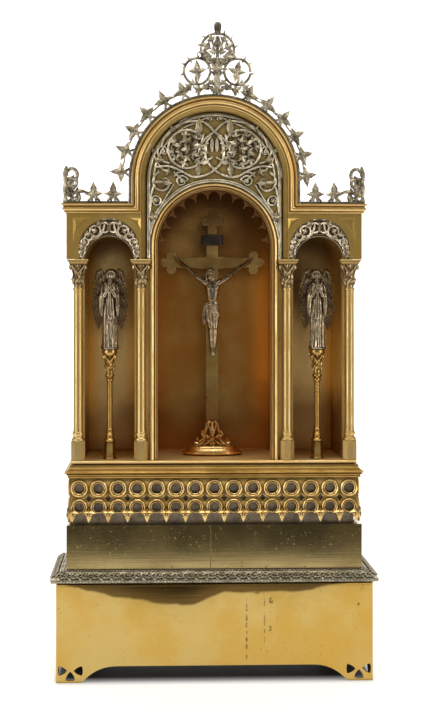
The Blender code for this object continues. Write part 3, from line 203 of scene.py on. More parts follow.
def new_group(name, given, results):
    """An empty shader group, what it is given, and the node that takes its results."""
    group = bpy.data.node_groups.new(name, "ShaderNodeTree")
    for direction, sockets in (("INPUT", given), ("OUTPUT", results)):
        for socket in sockets:
            made = group.interface.new_socket(socket, in_out=direction, socket_type="NodeSocketFloat")
            made.default_value = given.get(socket, 0.0)
    return group, group.nodes.new("NodeGroupInput").outputs, group.nodes.new("NodeGroupOutput")


# Clouds, specks, fine polishing lines and sheet waves over the surface.
surface_field, given, result = new_group(
    "surface_field", {"Cloud Scale": 14.0, "Speck Scale": 260.0, "Speck Amount": 0.2, "Wave Scale": 9.0},
    ("Clouds", "Specks", "Lines", "Waves"),
)
spot = add_node(surface_field, "TexCoord", {}).outputs["Object"]
drawn_out = add_node(surface_field, "Mapping", {"Vector": spot, "Scale": (0.03, 1.0, 1.0)})
clouds, dots, fine_lines, waves = (
    add_node(surface_field, "TexNoise", {"Vector": where, "Scale": scale, "Detail": detail, "Roughness": rough})
    for where, scale, detail, rough in (
        (spot, given["Cloud Scale"], 5.0, 0.62), (spot, given["Speck Scale"], 2.0, 0.5),
        (drawn_out, 420.0, 2.0, 0.5), (spot, given["Wave Scale"], 1.5, 0.4),
    )
)
specks = span(surface_field, dots, 0.66, 0.74)
specks = reckon(surface_field, "MULTIPLY", specks, given["Speck Amount"], use_clamp=True)
feed(result, {"Clouds": span(surface_field, clouds, 0.36, 0.68), "Specks": specks, "Lines": fine_lines, "Waves": waves})

# How far a point lies in a hollow, from open 0 to hidden 1; finishes paint grime and shade by it.
recess_hidden, given, result = new_group("recess_hidden", {"Reach": 0.006}, ("Hidden",))
hollow = add_node(recess_hidden, "AmbientOcclusion", {"Distance": given["Reach"]}, samples=6)
feed(result, {"Hidden": span(recess_hidden, hollow.outputs["AO"], 0.92, 0.38, "LINEAR")})


def metal_finish(name, bright, dull, dark, rough, *, dirt_and_painted_light, cloud=14.0, speck=0.25, reach=0.005, wave=9.0,
                 wave_depth=0.0, line_depth=0.00002, speck_scale=260.0, soften=0.14):
    """Worked metal: bright where it is rubbed, dull in clouds, dark in specks, and in hollows painted with its dark
    tone, as grime and as painted shade.
    """
    made, tree, shader = new_material(name)
    field = add_node(tree, "Group", {}, node_tree=surface_field)
    feed(field, {"Cloud Scale": cloud, "Speck Scale": speck_scale, "Speck Amount": speck, "Wave Scale": wave})
    hollow = add_node(tree, "Group", {}, node_tree=recess_hidden)
    feed(hollow, {"Reach": reach})
    # Hollows take the dark tone: grime, and painted shade.
    shade = reckon(tree, "MULTIPLY", hollow, dirt_and_painted_light)
    tone, gloss = bright, rough
    for factor, next_tone, next_gloss in (
        (field.outputs["Clouds"], dull, rough + soften), (shade, dark, min(rough + 0.35, 0.9)),
        (field.outputs["Specks"], dark, 0.75),
    ):
        tone = blend(tree, factor, tone, next_tone)
        gloss = add_node(tree, "Mix", {"Factor": factor, "A": gloss, "B": next_gloss})
    feed(shader, {"Metallic": 1.0, "Base Color": tone, "Roughness": gloss})
    for source, depth in (("Waves", wave_depth), ("Lines", line_depth)):
        if depth:
            bump = add_node(tree, "Bump", {"Distance": depth, "Height": field.outputs[source]})
            if shader.inputs["Normal"].is_linked:
                feed(bump, {"Normal": shader.inputs["Normal"].links[0].from_socket})
            feed(shader, {"Normal": bump})
    return made


def finish_piece(name, bm, finish, slot, *stands_for, sharp=34):
    """Makes a bmesh a piece of the altar: faces outwards, smooth with crisp edges, one finish."""
    bmesh.ops.recalc_face_normals(bm, faces=bm.faces)
    mesh = mesh_of(name, bm)
    mesh.materials.append(finish)
    mesh.shade_smooth()
    mesh.set_sharp_from_angle(angle=math.radians(sharp))
    piece = add_object(name, mesh)
    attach(piece, "root")
    if stands_for:
        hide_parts(*stands_for)
    return piece


def dress_node(finish, *names):
    """Gives solids that are already right their worked finish."""
    for name in names:
        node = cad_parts[name]
        node.data.materials.clear()
        node.data.materials.append(finish)


def add_curve(bm, curve, place):
    """Turns a curve into closed mesh and adds it to the bmesh at its place."""
    holder = add_object("drawn", curve)
    bpy.context.view_layer.update()
    mesh = bpy.data.meshes.new_from_object(holder)
    mesh.transform(place)
    part = bmesh.new()
    part.from_mesh(mesh)
    bmesh.ops.remove_doubles(part, verts=part.verts, dist=1e-6)
    bmesh.ops.recalc_face_normals(part, faces=part.faces)
    part.to_mesh(mesh)
    part.free()
    bm.from_mesh(mesh)
    bpy.data.objects.remove(holder)
    bpy.data.curves.remove(curve)
    bpy.data.meshes.remove(mesh)


UPRIGHT = Matrix.Rotation(math.radians(90), 4, "X")


def turned_at(x, y, z, turn):
    """Place at a point, turned about the upright axis."""
    return Matrix.Translation((x, y, z)) @ Matrix.Rotation(turn, 4, "Z")


def add_plate(bm, outlines, front, thickness, edge, place=None):
    """A cut sheet: outlines and holes as (x, z) points, rounded edges, face at y = front."""
    curve = bpy.data.curves.new("cut_sheet", "CURVE")
    curve.dimensions = "2D"
    curve.fill_mode = "BOTH"
    curve.extrude = thickness / 2 - edge
    curve.bevel_depth = edge
    curve.bevel_resolution = 1
    curve.offset = -edge
    for outline in outlines:
        spline = curve.splines.new("POLY")
        spline.points.add(len(outline) - 1)
        spline.points.foreach_set("co", [v for x, z in outline for v in (x, z, 0.0, 1.0)])
        spline.use_cyclic_u = True
    standing = Matrix.Translation((0, front + thickness / 2, 0)) @ UPRIGHT
    add_curve(bm, curve, place @ standing if place else standing)


def arc(x, z, radius, start, end, steps):
    """Points on a circle, from one angle in degrees to another."""
    turns = [math.radians(start + (end - start) * i / steps) for i in range(steps + 1)]
    return [(x + radius * math.cos(t), z + radius * math.sin(t)) for t in turns]


polished_sheet = metal_finish(
    "polished_sheet", (0.555, 0.395, 0.130), (0.550, 0.335, 0.068), (0.16, 0.09, 0.03), 0.09, soften=0.04,
    cloud=9.0, speck=0.35, dirt_and_painted_light=0.5, wave=7.0, wave_depth=0.0008, line_depth=0.00001,
)

# The front sheet is pressed back a little at its foot, most left of the middle; below the border
# it carries a painted dark reflection. Old solder shows as two pitted seams, with spots near them.
tree = polished_sheet.node_tree
shader = tree.nodes["Principled BSDF"]
spot, split = point_on(tree)
plinth_width, pressed_top, pressed_lean, brim_z = 0.432, 0.07, math.radians(2.2), 0.1420
across = reckon(tree, "MULTIPLY_ADD", split["X"], 1 / plinth_width, 0.5)
lean = add_node(tree, "ValToRGB", {"Fac": across})
lean.color_ramp.interpolation = "B_SPLINE"
for place, share in (
    (0.10, 0.44), (0.30, 0.86), (0.42, 0.98), (0.49, 0.62), (0.56, 0.46), (0.77, 0.60), (0.87, 0.26),
):
    lean.color_ramp.elements.new(place).color = (share, share, share, 1.0)
for end in (0, -1):
    lean.color_ramp.elements[end].color = (0.08, 0.08, 0.08, 1.0)
below = reckon(tree, "MULTIPLY", reckon(tree, "SUBTRACT", pressed_top, split["Z"]), lean)
pressed = add_node(tree, "Bump", {"Distance": math.tan(pressed_lean), "Height": below})
worn_normal = shader.inputs["Normal"].links[0].from_node
while worn_normal.inputs["Normal"].is_linked:
    worn_normal = worn_normal.inputs["Normal"].links[0].from_node
feed(worn_normal, {"Normal": pressed})
marks = 0.0
for x, z, half_width, half_height, amount in (
    (0.0430, 0.066, 0.0016, 0.048, 1.0), (0.0675, 0.085, 0.0013, 0.040, 0.6),
    (0.0765, 0.110, 0.0036, 0.005, 0.9), (0.0745, 0.072, 0.0034, 0.004, 1.0),
    (0.1960, 0.103, 0.0028, 0.004, 0.9), (0.2010, 0.128, 0.0036, 0.004, 0.9),
    (0.0600, 0.124, 0.0120, 0.006, 0.8),
):
    nearness = 0.0
    for axis, middle, half, power in (("X", x, half_width, 2.0), ("Z", z, half_height, 4.0)):
        away = reckon(tree, "DIVIDE", reckon(tree, "SUBTRACT", split[axis], middle), half)
        nearness = reckon(tree, "ADD", nearness, reckon(tree, "POWER", away, power))
    inside = reckon(tree, "SUBTRACT", 1.0, reckon(tree, "MINIMUM", nearness, 1.0))
    marks = reckon(tree, "MAXIMUM", marks, reckon(tree, "MULTIPLY", inside, amount))
pits, frayed = (
    add_node(tree, "TexNoise", {"Vector": spot, "Scale": scale, "Detail": detail})
    for scale, detail in ((210.0, 3.0), (26.0, 5.0))
)
spots_and_painted_reflection = reckon(tree, "MULTIPLY", marks, span(tree, pits, 0.42, 0.54, "LINEAR"))
# The dark band below the border is a painted reflection of the dark room; brim is its wavy lower edge.
brim = reckon(tree, "MULTIPLY_ADD", lean, -0.043, brim_z)
brim = reckon(tree, "ADD", brim, reckon(tree, "MULTIPLY_ADD", frayed, 0.012, -0.006))
painted_reflection = span(tree, reckon(tree, "SUBTRACT", split["Z"], brim), 0.0, 0.0045, To_Max=0.90)
spots_and_painted_reflection = reckon(tree, "MAXIMUM", spots_and_painted_reflection, painted_reflection)
spots_and_painted_reflection = reckon(tree, "MULTIPLY", spots_and_painted_reflection, span(tree, split["Y"], -0.02, -0.08, "LINEAR"))
feed(shader, {
    "Base Color": blend(tree, spots_and_painted_reflection, shader.inputs["Base Color"].links[0].from_socket, (0.105, 0.057, 0.016)),
})

foot_length, apron_rise, apron_sweep = 0.0347, 0.0223, 0.0520
pierced_radius = 0.0072
pierced_places = ((0.0075, 0.0167, 0), (0.0315, 0.0165, 180), (0.0192, 0.0080, 90))
low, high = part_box("plinth")


def apron_outline(half, top):
    """Panel with feet at its ends and a quarter sweep up to the flat soffit between them."""
    sweep = []
    for i in range(25):
        t = i / 24
        sweep.append((-half + foot_length + apron_sweep * t, apron_rise * (1 - (1 - t) ** 2.6)))
    return [(-half, top), (-half, 0.0)] + sweep + [(-x, z) for x, z in sweep[::-1]] + [(half, 0.0), (half, top)]


def bulged_triangle(x, z, radius, turn):
    """Three-tipped hole whose sides swell between the tips."""
    points = []
    for k in range(24):
        part = (k % 8) / 8
        reach = radius * (1.0 - 0.34 * math.sin(math.pi * part) ** 0.7)
        t = math.radians(turn + 15 * k)
        points.append((x + reach * math.cos(t), z + reach * math.sin(t)))
    return points


bm = bmesh.new()
front_outlines = [apron_outline(high.x, high.z)]
for side in (-1, 1):
    for u, z, turn in pierced_places:
        facing = turn if side < 0 else 180 - turn
        front_outlines.append(bulged_triangle(side * (high.x - u), z, pierced_radius, facing))
add_plate(bm, front_outlines, low.y, SHEET * 1.2, 0.0004)
add_plate(bm, [apron_outline(high.x, high.z)], BACK - SHEET * 1.2, SHEET * 1.2, 0.0004)
depth_half, depth_middle = (BACK - low.y) / 2 - 0.0004, (BACK + low.y) / 2
for side in (-1, 1):
    sideways = turned_at(side * high.x, depth_middle, 0, side * math.pi / 2)
    add_plate(bm, [apron_outline(depth_half, high.z)], 0.0, SHEET * 1.2, 0.0004, sideways)
left, right, near, far = low.x + SHEET, high.x - SHEET, low.y + SHEET, BACK - SHEET
lie_flat = Matrix.Translation((0, 0, high.z - SHEET)) @ Matrix.Rotation(math.radians(-90), 4, "X")
add_plate(bm, [[(left, -near), (right, -near), (right, -far), (left, -far)]], 0.0, SHEET * 0.9, 0.0002, lie_flat)
finish_piece("plinth_box", bm, polished_sheet, "sheet_brass", "plinth", sharp=18)

# ------------------------------------------------------------------ cast border
# A sloping border of cast and silvered brass hides the step between the two lower
# storeys. It is antiqued dark, with rows of small worn scrolls and beads in low relief.


def loft(bm, rows):
    """Skins a closed section as it moves through its rows of points, with flat ends."""
    made = [bm.verts.new(point) for point in rows[0]]
    edges = [bm.edges.new(pair) for pair in zip(made, made[1:] + made[:1])]
    bm.faces.new(made)
    for row in rows[1:]:
        geom = bmesh.ops.extrude_edge_only(bm, edges=edges)["geom"]
        moved = {tuple(g.co): g for g in geom if isinstance(g, bmesh.types.BMVert)}
        made = [moved[tuple(vert.co)] for vert in made]
        edges = [g for g in geom if isinstance(g, bmesh.types.BMEdge) and set(g.verts) <= set(made)]
        for vert, point in zip(made, row):
            vert.co = point
    bm.faces.new(made)


def mitred_run(bm, profile, corners):
    """Sweeps a (outward, height) profile through (x, y, outward x, outward y) corners."""
    loft(bm, [[(x + out * ox, y + out * oy, z) for out, z in profile] for x, y, ox, oy in corners])


def three_sides(half, front):
    """Corners of a moulding that runs along the left side, the front and the right side."""
    return [(-half, BACK, -1, 0), (-half, front, -1, -1), (half, front, 1, -1), (half, BACK, 1, 0)]


unit_balls = {}


def add_round(bm, matrix, segments, rings):
    """A ball stretched and placed by a matrix."""
    if (segments, rings) not in unit_balls:
        ball = bmesh.new()
        bmesh.ops.create_uvsphere(ball, u_segments=segments, v_segments=rings, radius=1.0)
        unit_balls[segments, rings] = mesh_of("ball", ball)
    copy = unit_balls[segments, rings].copy()
    copy.transform(matrix)
    bm.from_mesh(copy)
    bpy.data.meshes.remove(copy)


def add_ball(bm, place, radii, segments, rings):
    """An upright ball with its three radii."""
    add_round(bm, Matrix.Translation(place) @ Matrix.Diagonal((*radii, 1.0)), segments, rings)


def add_strands(bm, runs, place=Matrix.Identity(4), *, smooth, round_steps=1):
    """Round cast strands: each run is a list of (x, y, z, radius) points, joined smoothly."""
    curve = bpy.data.curves.new("strands", "CURVE")
    curve.dimensions = "3D"
    curve.bevel_depth = 1.0
    curve.bevel_resolution = round_steps
    curve.use_fill_caps = True
    curve.resolution_u = smooth
    for run in runs:
        spline = curve.splines.new("BEZIER")
        spline.bezier_points.add(len(run) - 1)
        for point, (x, y, z, radius) in zip(spline.bezier_points, run):
            point.co = (x, y, z)
            point.radius = radius
            point.handle_left_type = point.handle_right_type = "AUTO"
    add_curve(bm, curve, place)


antique_border_metal = metal_finish(
    "antique_border_metal", (0.56, 0.50, 0.37), (0.33, 0.285, 0.19), (0.035, 0.028, 0.016), 0.36,
    cloud=60.0, speck=0.9, speck_scale=330.0, reach=0.0030, dirt_and_painted_light=1.0, wave=420.0, wave_depth=0.0006,
)

low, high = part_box("border_band")
band_top = high.z - low.z
band_slope = [
    (-0.0022, 0.0), (-0.0022, 0.0040), (-0.0024, 0.0044), (-0.0026, 0.0047), (-0.0034, 0.0052), (-0.0040, 0.0060),
    (-0.0085, 0.0088), (-0.0130, 0.0112), (-0.0150, 0.0116), (-0.0160, 0.0128), (-0.0190, 0.0134),
    (-0.0210, 0.0146), (-0.0228, band_top), (-0.0300, band_top), (-0.0300, 0.0120), (-0.0020, 0.0),
]
bm = bmesh.new()
mitred_run(bm, [(out, low.z + z) for out, z in band_slope], three_sides(high.x, low.y))
scroll_pitch, bead_pitch = 0.0072, 0.0044
slope_tilt = math.atan2(0.0060, 0.0110)


def band_frame(side, along):
    """Matrix that lays the +X, +Z plane of a relief on the band's slope at a place along it."""
    on_slope = Matrix.Translation((along, 0.0062, low.z + 0.0086)) @ Matrix.Rotation(-slope_tilt - 0.55, 4, "X")
    if side == 0:
        return Matrix.Translation((0, low.y, 0)) @ on_slope
    return turned_at(side * high.x, 0, 0, side * math.pi / 2) @ on_slope


relief = bmesh.new()
scroll = [(-0.0046, 0, -0.0026, 0.0007), (-0.0028, -0.0006, 0.0034, 0.0010), (0.0010, -0.0008, 0.0040, 0.0011),
          (0.0020, -0.0008, 0.0, 0.0010), (0.0004, -0.0008, -0.0016, 0.0009), (-0.0008, -0.0008, 0.0006, 0.0007)]
leaf_back = [(0.0022, -0.0006, 0.0014, 0.0008), (0.0040, -0.0009, 0.0044, 0.0012), (0.0052, -0.0006, 0.0026, 0.0006)]
leaf_low = [(0.0014, -0.0006, -0.0024, 0.0008), (0.0036, -0.0009, -0.0046, 0.0012), (0.0056, -0.0006, -0.0034, 0.0006)]
add_strands(relief, [scroll, leaf_back, leaf_low], smooth=2)
unit = mesh_of("scroll_unit", relief)
runs = ((0, -high.x + 0.010, high.x - 0.010), (-1, -BACK + 0.004, -low.y - 0.010), (1, low.y + 0.010, BACK - 0.004))
for side, start, end in runs:
    count = round((end - start) / scroll_pitch)
    for i in range(count):
        along = start + (i + 0.5) * (end - start) / count
        copy = unit.copy()
        flip = Matrix.Scale(-1 if i % 2 else 1, 4, (0, 0, 1))
        copy.transform(band_frame(side, along) @ flip)
        if i % 2:
            copy.flip_normals()
        bm.from_mesh(copy)
        bpy.data.meshes.remove(copy)
    beads = round((end - start) / bead_pitch)
    for i in range(beads):
        along = start + (i + 0.5) * (end - start) / beads
        for outward, height, size in ((0.0019, 0.0022, 0.0014), (0.0148, 0.0118, 0.0009), (0.0188, 0.0138, 0.0012)):
            if side == 0:
                place = (along, low.y + outward, low.z + height)
            else:
                place = (side * (high.x - outward), side * along, low.z + height)
            add_ball(bm, place, (size * 1.3, size * 1.3, size), 6, 4)
finish_piece("border_relief", bm, antique_border_metal, "antique_border", "border_band")

# ------------------------------------------------------------------ second storey
# A plain sheet box stands on the border. Its front is two sheets joined in the middle by a
# fine seam, and the lacquer has gone olive brown.

olive_sheet = metal_finish(
    "olive_sheet", (0.47, 0.36, 0.155), (0.36, 0.26, 0.10), (0.09, 0.06, 0.025), 0.10, soften=0.06,
    cloud=9.0, speck=0.4, dirt_and_painted_light=0.6, wave=6.0, wave_depth=0.0006, line_depth=0.000012,
)
dress_node(olive_sheet, "tier_box")
low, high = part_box("tier_box")
bm = bmesh.new()
seam_x = -0.0055
seam = [(seam_x + side * 0.0004, z) for side, z in (
    (-1, low.z + 0.001), (1, low.z + 0.001), (1, high.z - 0.001), (-1, high.z - 0.001),
)]
add_plate(bm, [seam], low.y - 0.00015, 0.0003, 0.00005)
seam_metal = metal_finish("seam_metal", (0.30, 0.21, 0.09), (0.18, 0.12, 0.05), (0.05, 0.03, 0.02), 0.5, dirt_and_painted_light=0.2)
finish_piece("tier_seam", bm, seam_metal, "sheet_brass")

# ------------------------------------------------------------------ ring frieze
# Three cast galleries of brass stand before a dark box: round rings above, rings with a
# pointed foot below, and leaf pendants between them. The faces are polished, and the rings
# are rounded and stand proud of the plate.

gallery_brass = metal_finish(
    "gallery_brass", (0.82, 0.57, 0.23), (0.68, 0.44, 0.15), (0.08, 0.045, 0.015), 0.25,
    cloud=40.0, speck=0.25, reach=0.005, dirt_and_painted_light=1.0,
)


def mark_proud(bm, flush, reach):
    """Gives each vertex its proud attribute: 0 at the depth that lies flush, 1 a reach before it."""
    proud = bm.verts.layers.float.new("proud")
    for vert in bm.verts:
        vert[proud] = min(max((flush - vert.co.y) / reach, 0.0), 1.0)


def shade_lows(finish, tone):
    """Darkens what is not proud: where the proud attribute is 0, the metal is painted with a dull tone, painted shade
    in low and rear parts, and the proud parts stay rubbed bright.
    """
    tree = finish.node_tree
    color = tree.nodes["Principled BSDF"].inputs["Base Color"]
    height = add_node(tree, "Attribute", {}, attribute_name="proud").outputs["Fac"]
    low = reckon(tree, "SUBTRACT", 1.0, height)
    feed(color.node, {"Base Color": blend(tree, low, color.links[0].from_socket, tone, blend_type="MULTIPLY")})


# The plate between the rings is painted darker than the proud rings: painted shade.
shade_lows(gallery_brass, (0.56, 0.52, 0.42))
dark_patina = metal_finish(
    "dark_patina", (0.30, 0.24, 0.16), (0.19, 0.155, 0.12), (0.05, 0.04, 0.03), 0.42,
    cloud=70.0, speck=0.6, dirt_and_painted_light=0.7, speck_scale=160.0, wave=30.0, wave_depth=0.0008,
)
dress_node(dark_patina, "frieze_backing")

ring_pitch, ring_hole, arch_hole = 0.0265, 0.0072, 0.0068
ring_z, arch_ring_z, diamond_z = 0.2617, 0.2358, 0.2487
pendant_leaf_z = 0.2290
gallery_thickness = 0.0024
frieze_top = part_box("frieze_front")[1].z


def add_ring(bm, x, z, radius, thick, proud, front, start=0.0, end=360.0, steps=40):
    """A half-round ring on the face y = front: radius to the middle, thick wide, proud high."""
    closed = end - start >= 360
    points = arc(x, z, radius, start, end, steps)
    if closed:
        points = points[:-1]
    curve = bpy.data.curves.new("ring", "CURVE")
    curve.dimensions = "3D"
    curve.bevel_depth = 1.0
    curve.bevel_resolution = 2
    curve.use_fill_caps = not closed
    spline = curve.splines.new("POLY")
    spline.points.add(len(points) - 1)
    spline.points.foreach_set("co", [v for px, pz in points for v in (px, 0.0, pz, 1.0)])
    spline.points.foreach_set("radius", [thick / 2] * len(points))
    spline.use_cyclic_u = closed
    flatten = Matrix.Translation((0, front, 0)) @ Matrix.Diagonal((1, proud / (thick / 2), 1, 1))
    add_curve(bm, curve, flatten)


def add_leaf(bm, place, size, lobes, width, rise, valley, thick=0.0012):
    """A pointed leaf with a ridge down each lobe: place maps (x, -front, z) to the altar.

    lobes are (angle, length) pairs, in degrees from +X and as shares of the size.
    """
    lobes = sorted(lobes)
    outline = []
    for i, (turn, length) in enumerate(lobes):
        after = lobes[(i + 1) % len(lobes)][0] + (360 if i == len(lobes) - 1 else 0)
        spread = math.degrees(math.atan2(width, 0.42))
        for offset, reach, lift in ((-spread, 0.50, 0.3), (0, 1.0, 0.25), (spread, 0.50, 0.3)):
            outline.append((turn + offset, length * reach, lift))
        outline.append(((turn + after) / 2, valley, 0.0))
    flat = []
    for turn, reach, lift in outline:
        t = math.radians(turn)
        flat.append(Vector((size * reach * math.cos(t), -size * rise * lift, size * reach * math.sin(t))))
    middle = bm.verts.new(place @ Vector((0, -size * rise, 0)))
    rim = [bm.verts.new(place @ point) for point in flat]
    ridges = {}
    for k in range(1, len(rim), 4):
        tip = flat[k]
        ridges[k] = bm.verts.new(place @ Vector((tip.x * 0.55, -size * rise * 1.1, tip.z * 0.55)))
    faces = []
    for k, ridge in ridges.items():
        before, tip, after = rim[k - 1], rim[k], rim[k + 1]
        valley_before, valley_after = rim[k - 2], rim[(k + 2) % len(rim)]
        for corners in ((middle, valley_before, before), (middle, before, ridge), (ridge, before, tip),
                        (ridge, tip, after), (middle, ridge, after), (middle, after, valley_after)):
            faces.append(bm.faces.new(corners))
    back = bmesh.ops.extrude_face_region(bm, geom=faces)
    drop = place.to_3x3() @ Vector((0, thick, 0))
    for vert in [g for g in back["geom"] if isinstance(g, bmesh.types.BMVert)]:
        vert.co += drop


def at_point(x, y, z, turn=0.0, tilt=0.0, side=1):
    """Place of a relief: at the point, turned in the front plane, tilted forward, mirrored."""
    return (
        Matrix.Translation((x, y, z)) @ Matrix.Scale(side, 4, (1, 0, 0))
        @ Matrix.Rotation(-math.radians(turn), 4, "Y") @ Matrix.Rotation(math.radians(tilt), 4, "X")
    )


def ring_gallery(count, half_run):
    """One gallery in the plane y = 0, faces towards -Y."""
    bm = bmesh.new()
    first = -ring_pitch * (count - 1) / 2
    lower_edge = []
    holes = []
    for i in range(count):
        x = first + ring_pitch * i
        left, right = x - ring_pitch / 2, x + ring_pitch / 2
        for edge, lift in (
            (left + 0.0020, -0.0050), (left + 0.0052, 0.0004), (x, -0.0004), (right - 0.0052, 0.0004),
            (right - 0.0020, -0.0050),
        ):
            lower_edge.append((edge, pendant_leaf_z + lift))
        holes.append(arc(x, ring_z, ring_hole, 0, 360, 40)[:-1])
        holes.append(arc(x, arch_ring_z, arch_hole, -38, 218, 30) + [(x, arch_ring_z - arch_hole * 0.84)])
        if i < count - 1:
            holes.append([(right + u, diamond_z + w) for u, w in (
                (-0.0040, 0), (-0.0020, -0.0022), (0, -0.0048), (0.0020, -0.0022),
                (0.0040, 0), (0.0020, 0.0022), (0, 0.0048), (-0.0020, 0.0022),
            )])
    plate = [(half_run, frieze_top), (-half_run, frieze_top), (-half_run, pendant_leaf_z - 0.004)]
    plate += lower_edge + [(half_run, pendant_leaf_z - 0.004)]
    add_plate(bm, [plate] + holes, 0.0, gallery_thickness, 0.0003)
    for i in range(count):
        x = first + ring_pitch * i
        for z, radius, thick, proud, *part in (
            (ring_z, 0.0106, 0.0030, 0.0026), (ring_z, 0.0081, 0.0021, 0.0020),
            (arch_ring_z, 0.0102, 0.0028, 0.0026, -28, 208, 30),
            (arch_ring_z, 0.0077, 0.0020, 0.0020, -46, 226, 30),
        ):
            add_ring(bm, x, z, radius, thick, proud, 0.0, *part)
        for side in (-1, 1):
            foot = [(x + side * u, -lift, arch_ring_z - drop, radius) for u, lift, drop, radius in (
                (0.0090, 0.0006, 0.0044, 0.0014), (0.0046, 0.0008, 0.0060, 0.0012),
                (0.0002, 0.0008, 0.0070, 0.0010),
            )]
            add_strands(bm, [foot], smooth=3, round_steps=2)
    for i in range(count + 1):
        x = first + ring_pitch * (i - 0.5)
        x = max(-half_run + 0.0036, min(half_run - 0.0036, x))
        drop = at_point(x, -0.0016, pendant_leaf_z, -90)
        lobes = [(0, 1.0), (180, 0.5)]
        for way in (-1, 1):
            if 0 < i < count or way == (1 if i == 0 else -1):
                lobes += [(way * 82, 0.74)]
                add_ball(bm, (x + way * 0.0034, -0.0034, pendant_leaf_z - 0.0022), (0.0020, 0.0010, 0.0022), 8, 6)
        add_leaf(bm, drop, 0.0142, lobes, 0.22, 0.16, 0.24, 0.0026)
        add_ball(bm, (x, -0.0040, pendant_leaf_z - 0.0044), (0.0018, 0.0010, 0.0034), 8, 6)
    mark_proud(bm, 0.0, 0.0010)
    return bm


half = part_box("frieze_front")[1].x
low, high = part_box("frieze_front")
bm = ring_gallery(15, half)
bmesh.ops.translate(bm, vec=(0, low.y + 0.0002, 0), verts=bm.verts)
finish_piece("frieze_gallery_front", bm, gallery_brass, "cast_brass", "frieze_front", sharp=24)
depth = BACK - high.y - 0.0006
for name, side in (("left", -1), ("right", 1)):
    bm = ring_gallery(6, depth / 2)
    beside = turned_at(side * half, high.y + 0.0004 + depth / 2, 0, side * math.pi / 2)
    bmesh.ops.transform(bm, matrix=beside, verts=bm.verts)
    finish_piece("frieze_gallery_" + name, bm, gallery_brass, "cast_brass", "frieze_" + name, sharp=24)

# ------------------------------------------------------------------ shelf moulding
# The shelf that carries the cabinet has a run brass moulding: a bead, a cove, a sharp nose
# and two fillets. The polished floor plate lies on it with a dark joint.

moulding_brass = metal_finish(
    "moulding_brass", (0.55, 0.345, 0.10), (0.41, 0.245, 0.065), (0.08, 0.04, 0.012), 0.30,
    cloud=24.0, speck=0.3, reach=0.005, dirt_and_painted_light=0.8,
)
low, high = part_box("base_cornice")
shelf_rise = high.z - low.z
shelf = [
    (-0.0158, 0.0), (-0.0064, 0.0), (-0.0052, 0.0006), (-0.0046, 0.0018), (-0.0052, 0.0030), (-0.0050, 0.0040),
    (-0.0036, 0.0042), (-0.0030, 0.0050), (-0.0036, 0.0060), (-0.0022, 0.0066), (-0.0006, 0.0076), (0.0, 0.0080),
    (-0.0006, 0.0086), (-0.0030, 0.0092), (-0.0036, 0.0100), (-0.0034, 0.0110), (-0.0056, 0.0116),
    (-0.0064, 0.0132), (-0.0074, 0.0146), (-0.0078, shelf_rise - 0.0018), (-0.0130, shelf_rise - 0.0018),
    (-0.0130, shelf_rise), (-0.0158, shelf_rise),
]
bm = bmesh.new()
mitred_run(bm, [(out, low.z + z) for out, z in shelf], three_sides(high.x, low.y))
finish_piece("shelf_moulding", bm, moulding_brass, "cast_brass", "base_cornice", sharp=25)
floor_brass = metal_finish(
    "floor_brass", (1.0, 0.76, 0.36), (0.98, 0.68, 0.28), (0.50, 0.24, 0.06), 0.50,
    cloud=18.0, speck=0.3, reach=0.006, dirt_and_painted_light=0.6,
)
dress_node(floor_brass, "floor_plate")

# ------------------------------------------------------------------ cabinet
# The cabinet is folded from brass sheet: a flat back, two walls and three niches bent into
# round vaults. Inside, the old lacquer is a deep amber. Outside the sheet is plain.

FLOOR, IMPOST_TOP, NICHE_Z, ARCH_Z = 0.2993, 0.5760, 0.5940, 0.6850
UPPER_FRONT, LOWER_FRONT, CROWN_INNER = -0.0725, -0.0480, 0.1007
BAY_X, BAY_INNER = 0.1445, 0.0335


def arched_run(bm, profile, x, centre_z, foot, steps=72):
    """A section over a round arch and down both jambs: (radius, y) points, closed.

    With its foot above the centre, the arch is less than a half circle.
    """
    verts = [bm.verts.new((x + radius, y, centre_z)) for radius, y in profile]
    edges = [bm.edges.new(pair) for pair in zip(verts, verts[1:] + verts[:1])]
    centre, start = (x, 0, centre_z), math.asin(max(foot - centre_z, 0) / profile[0][0])
    bmesh.ops.rotate(bm, verts=verts, cent=centre, matrix=Matrix.Rotation(-start, 3, "Y"))
    over = bmesh.ops.spin(
        bm, geom=verts + edges, cent=centre, axis=(0, -1, 0), angle=math.pi - 2 * start, steps=steps
    )
    last = [e for e in over["geom_last"] if isinstance(e, bmesh.types.BMEdge)]
    for ends in (edges, last):
        if foot < centre_z:
            made = bmesh.ops.extrude_edge_only(bm, edges=ends)["geom"]
            feet = {g for g in made if isinstance(g, bmesh.types.BMVert)}
            for vert in feet:
                vert.co.z = foot
            ends = [g for g in made if isinstance(g, bmesh.types.BMEdge) and set(g.verts) <= feet]
        bmesh.ops.contextual_create(bm, geom=ends)


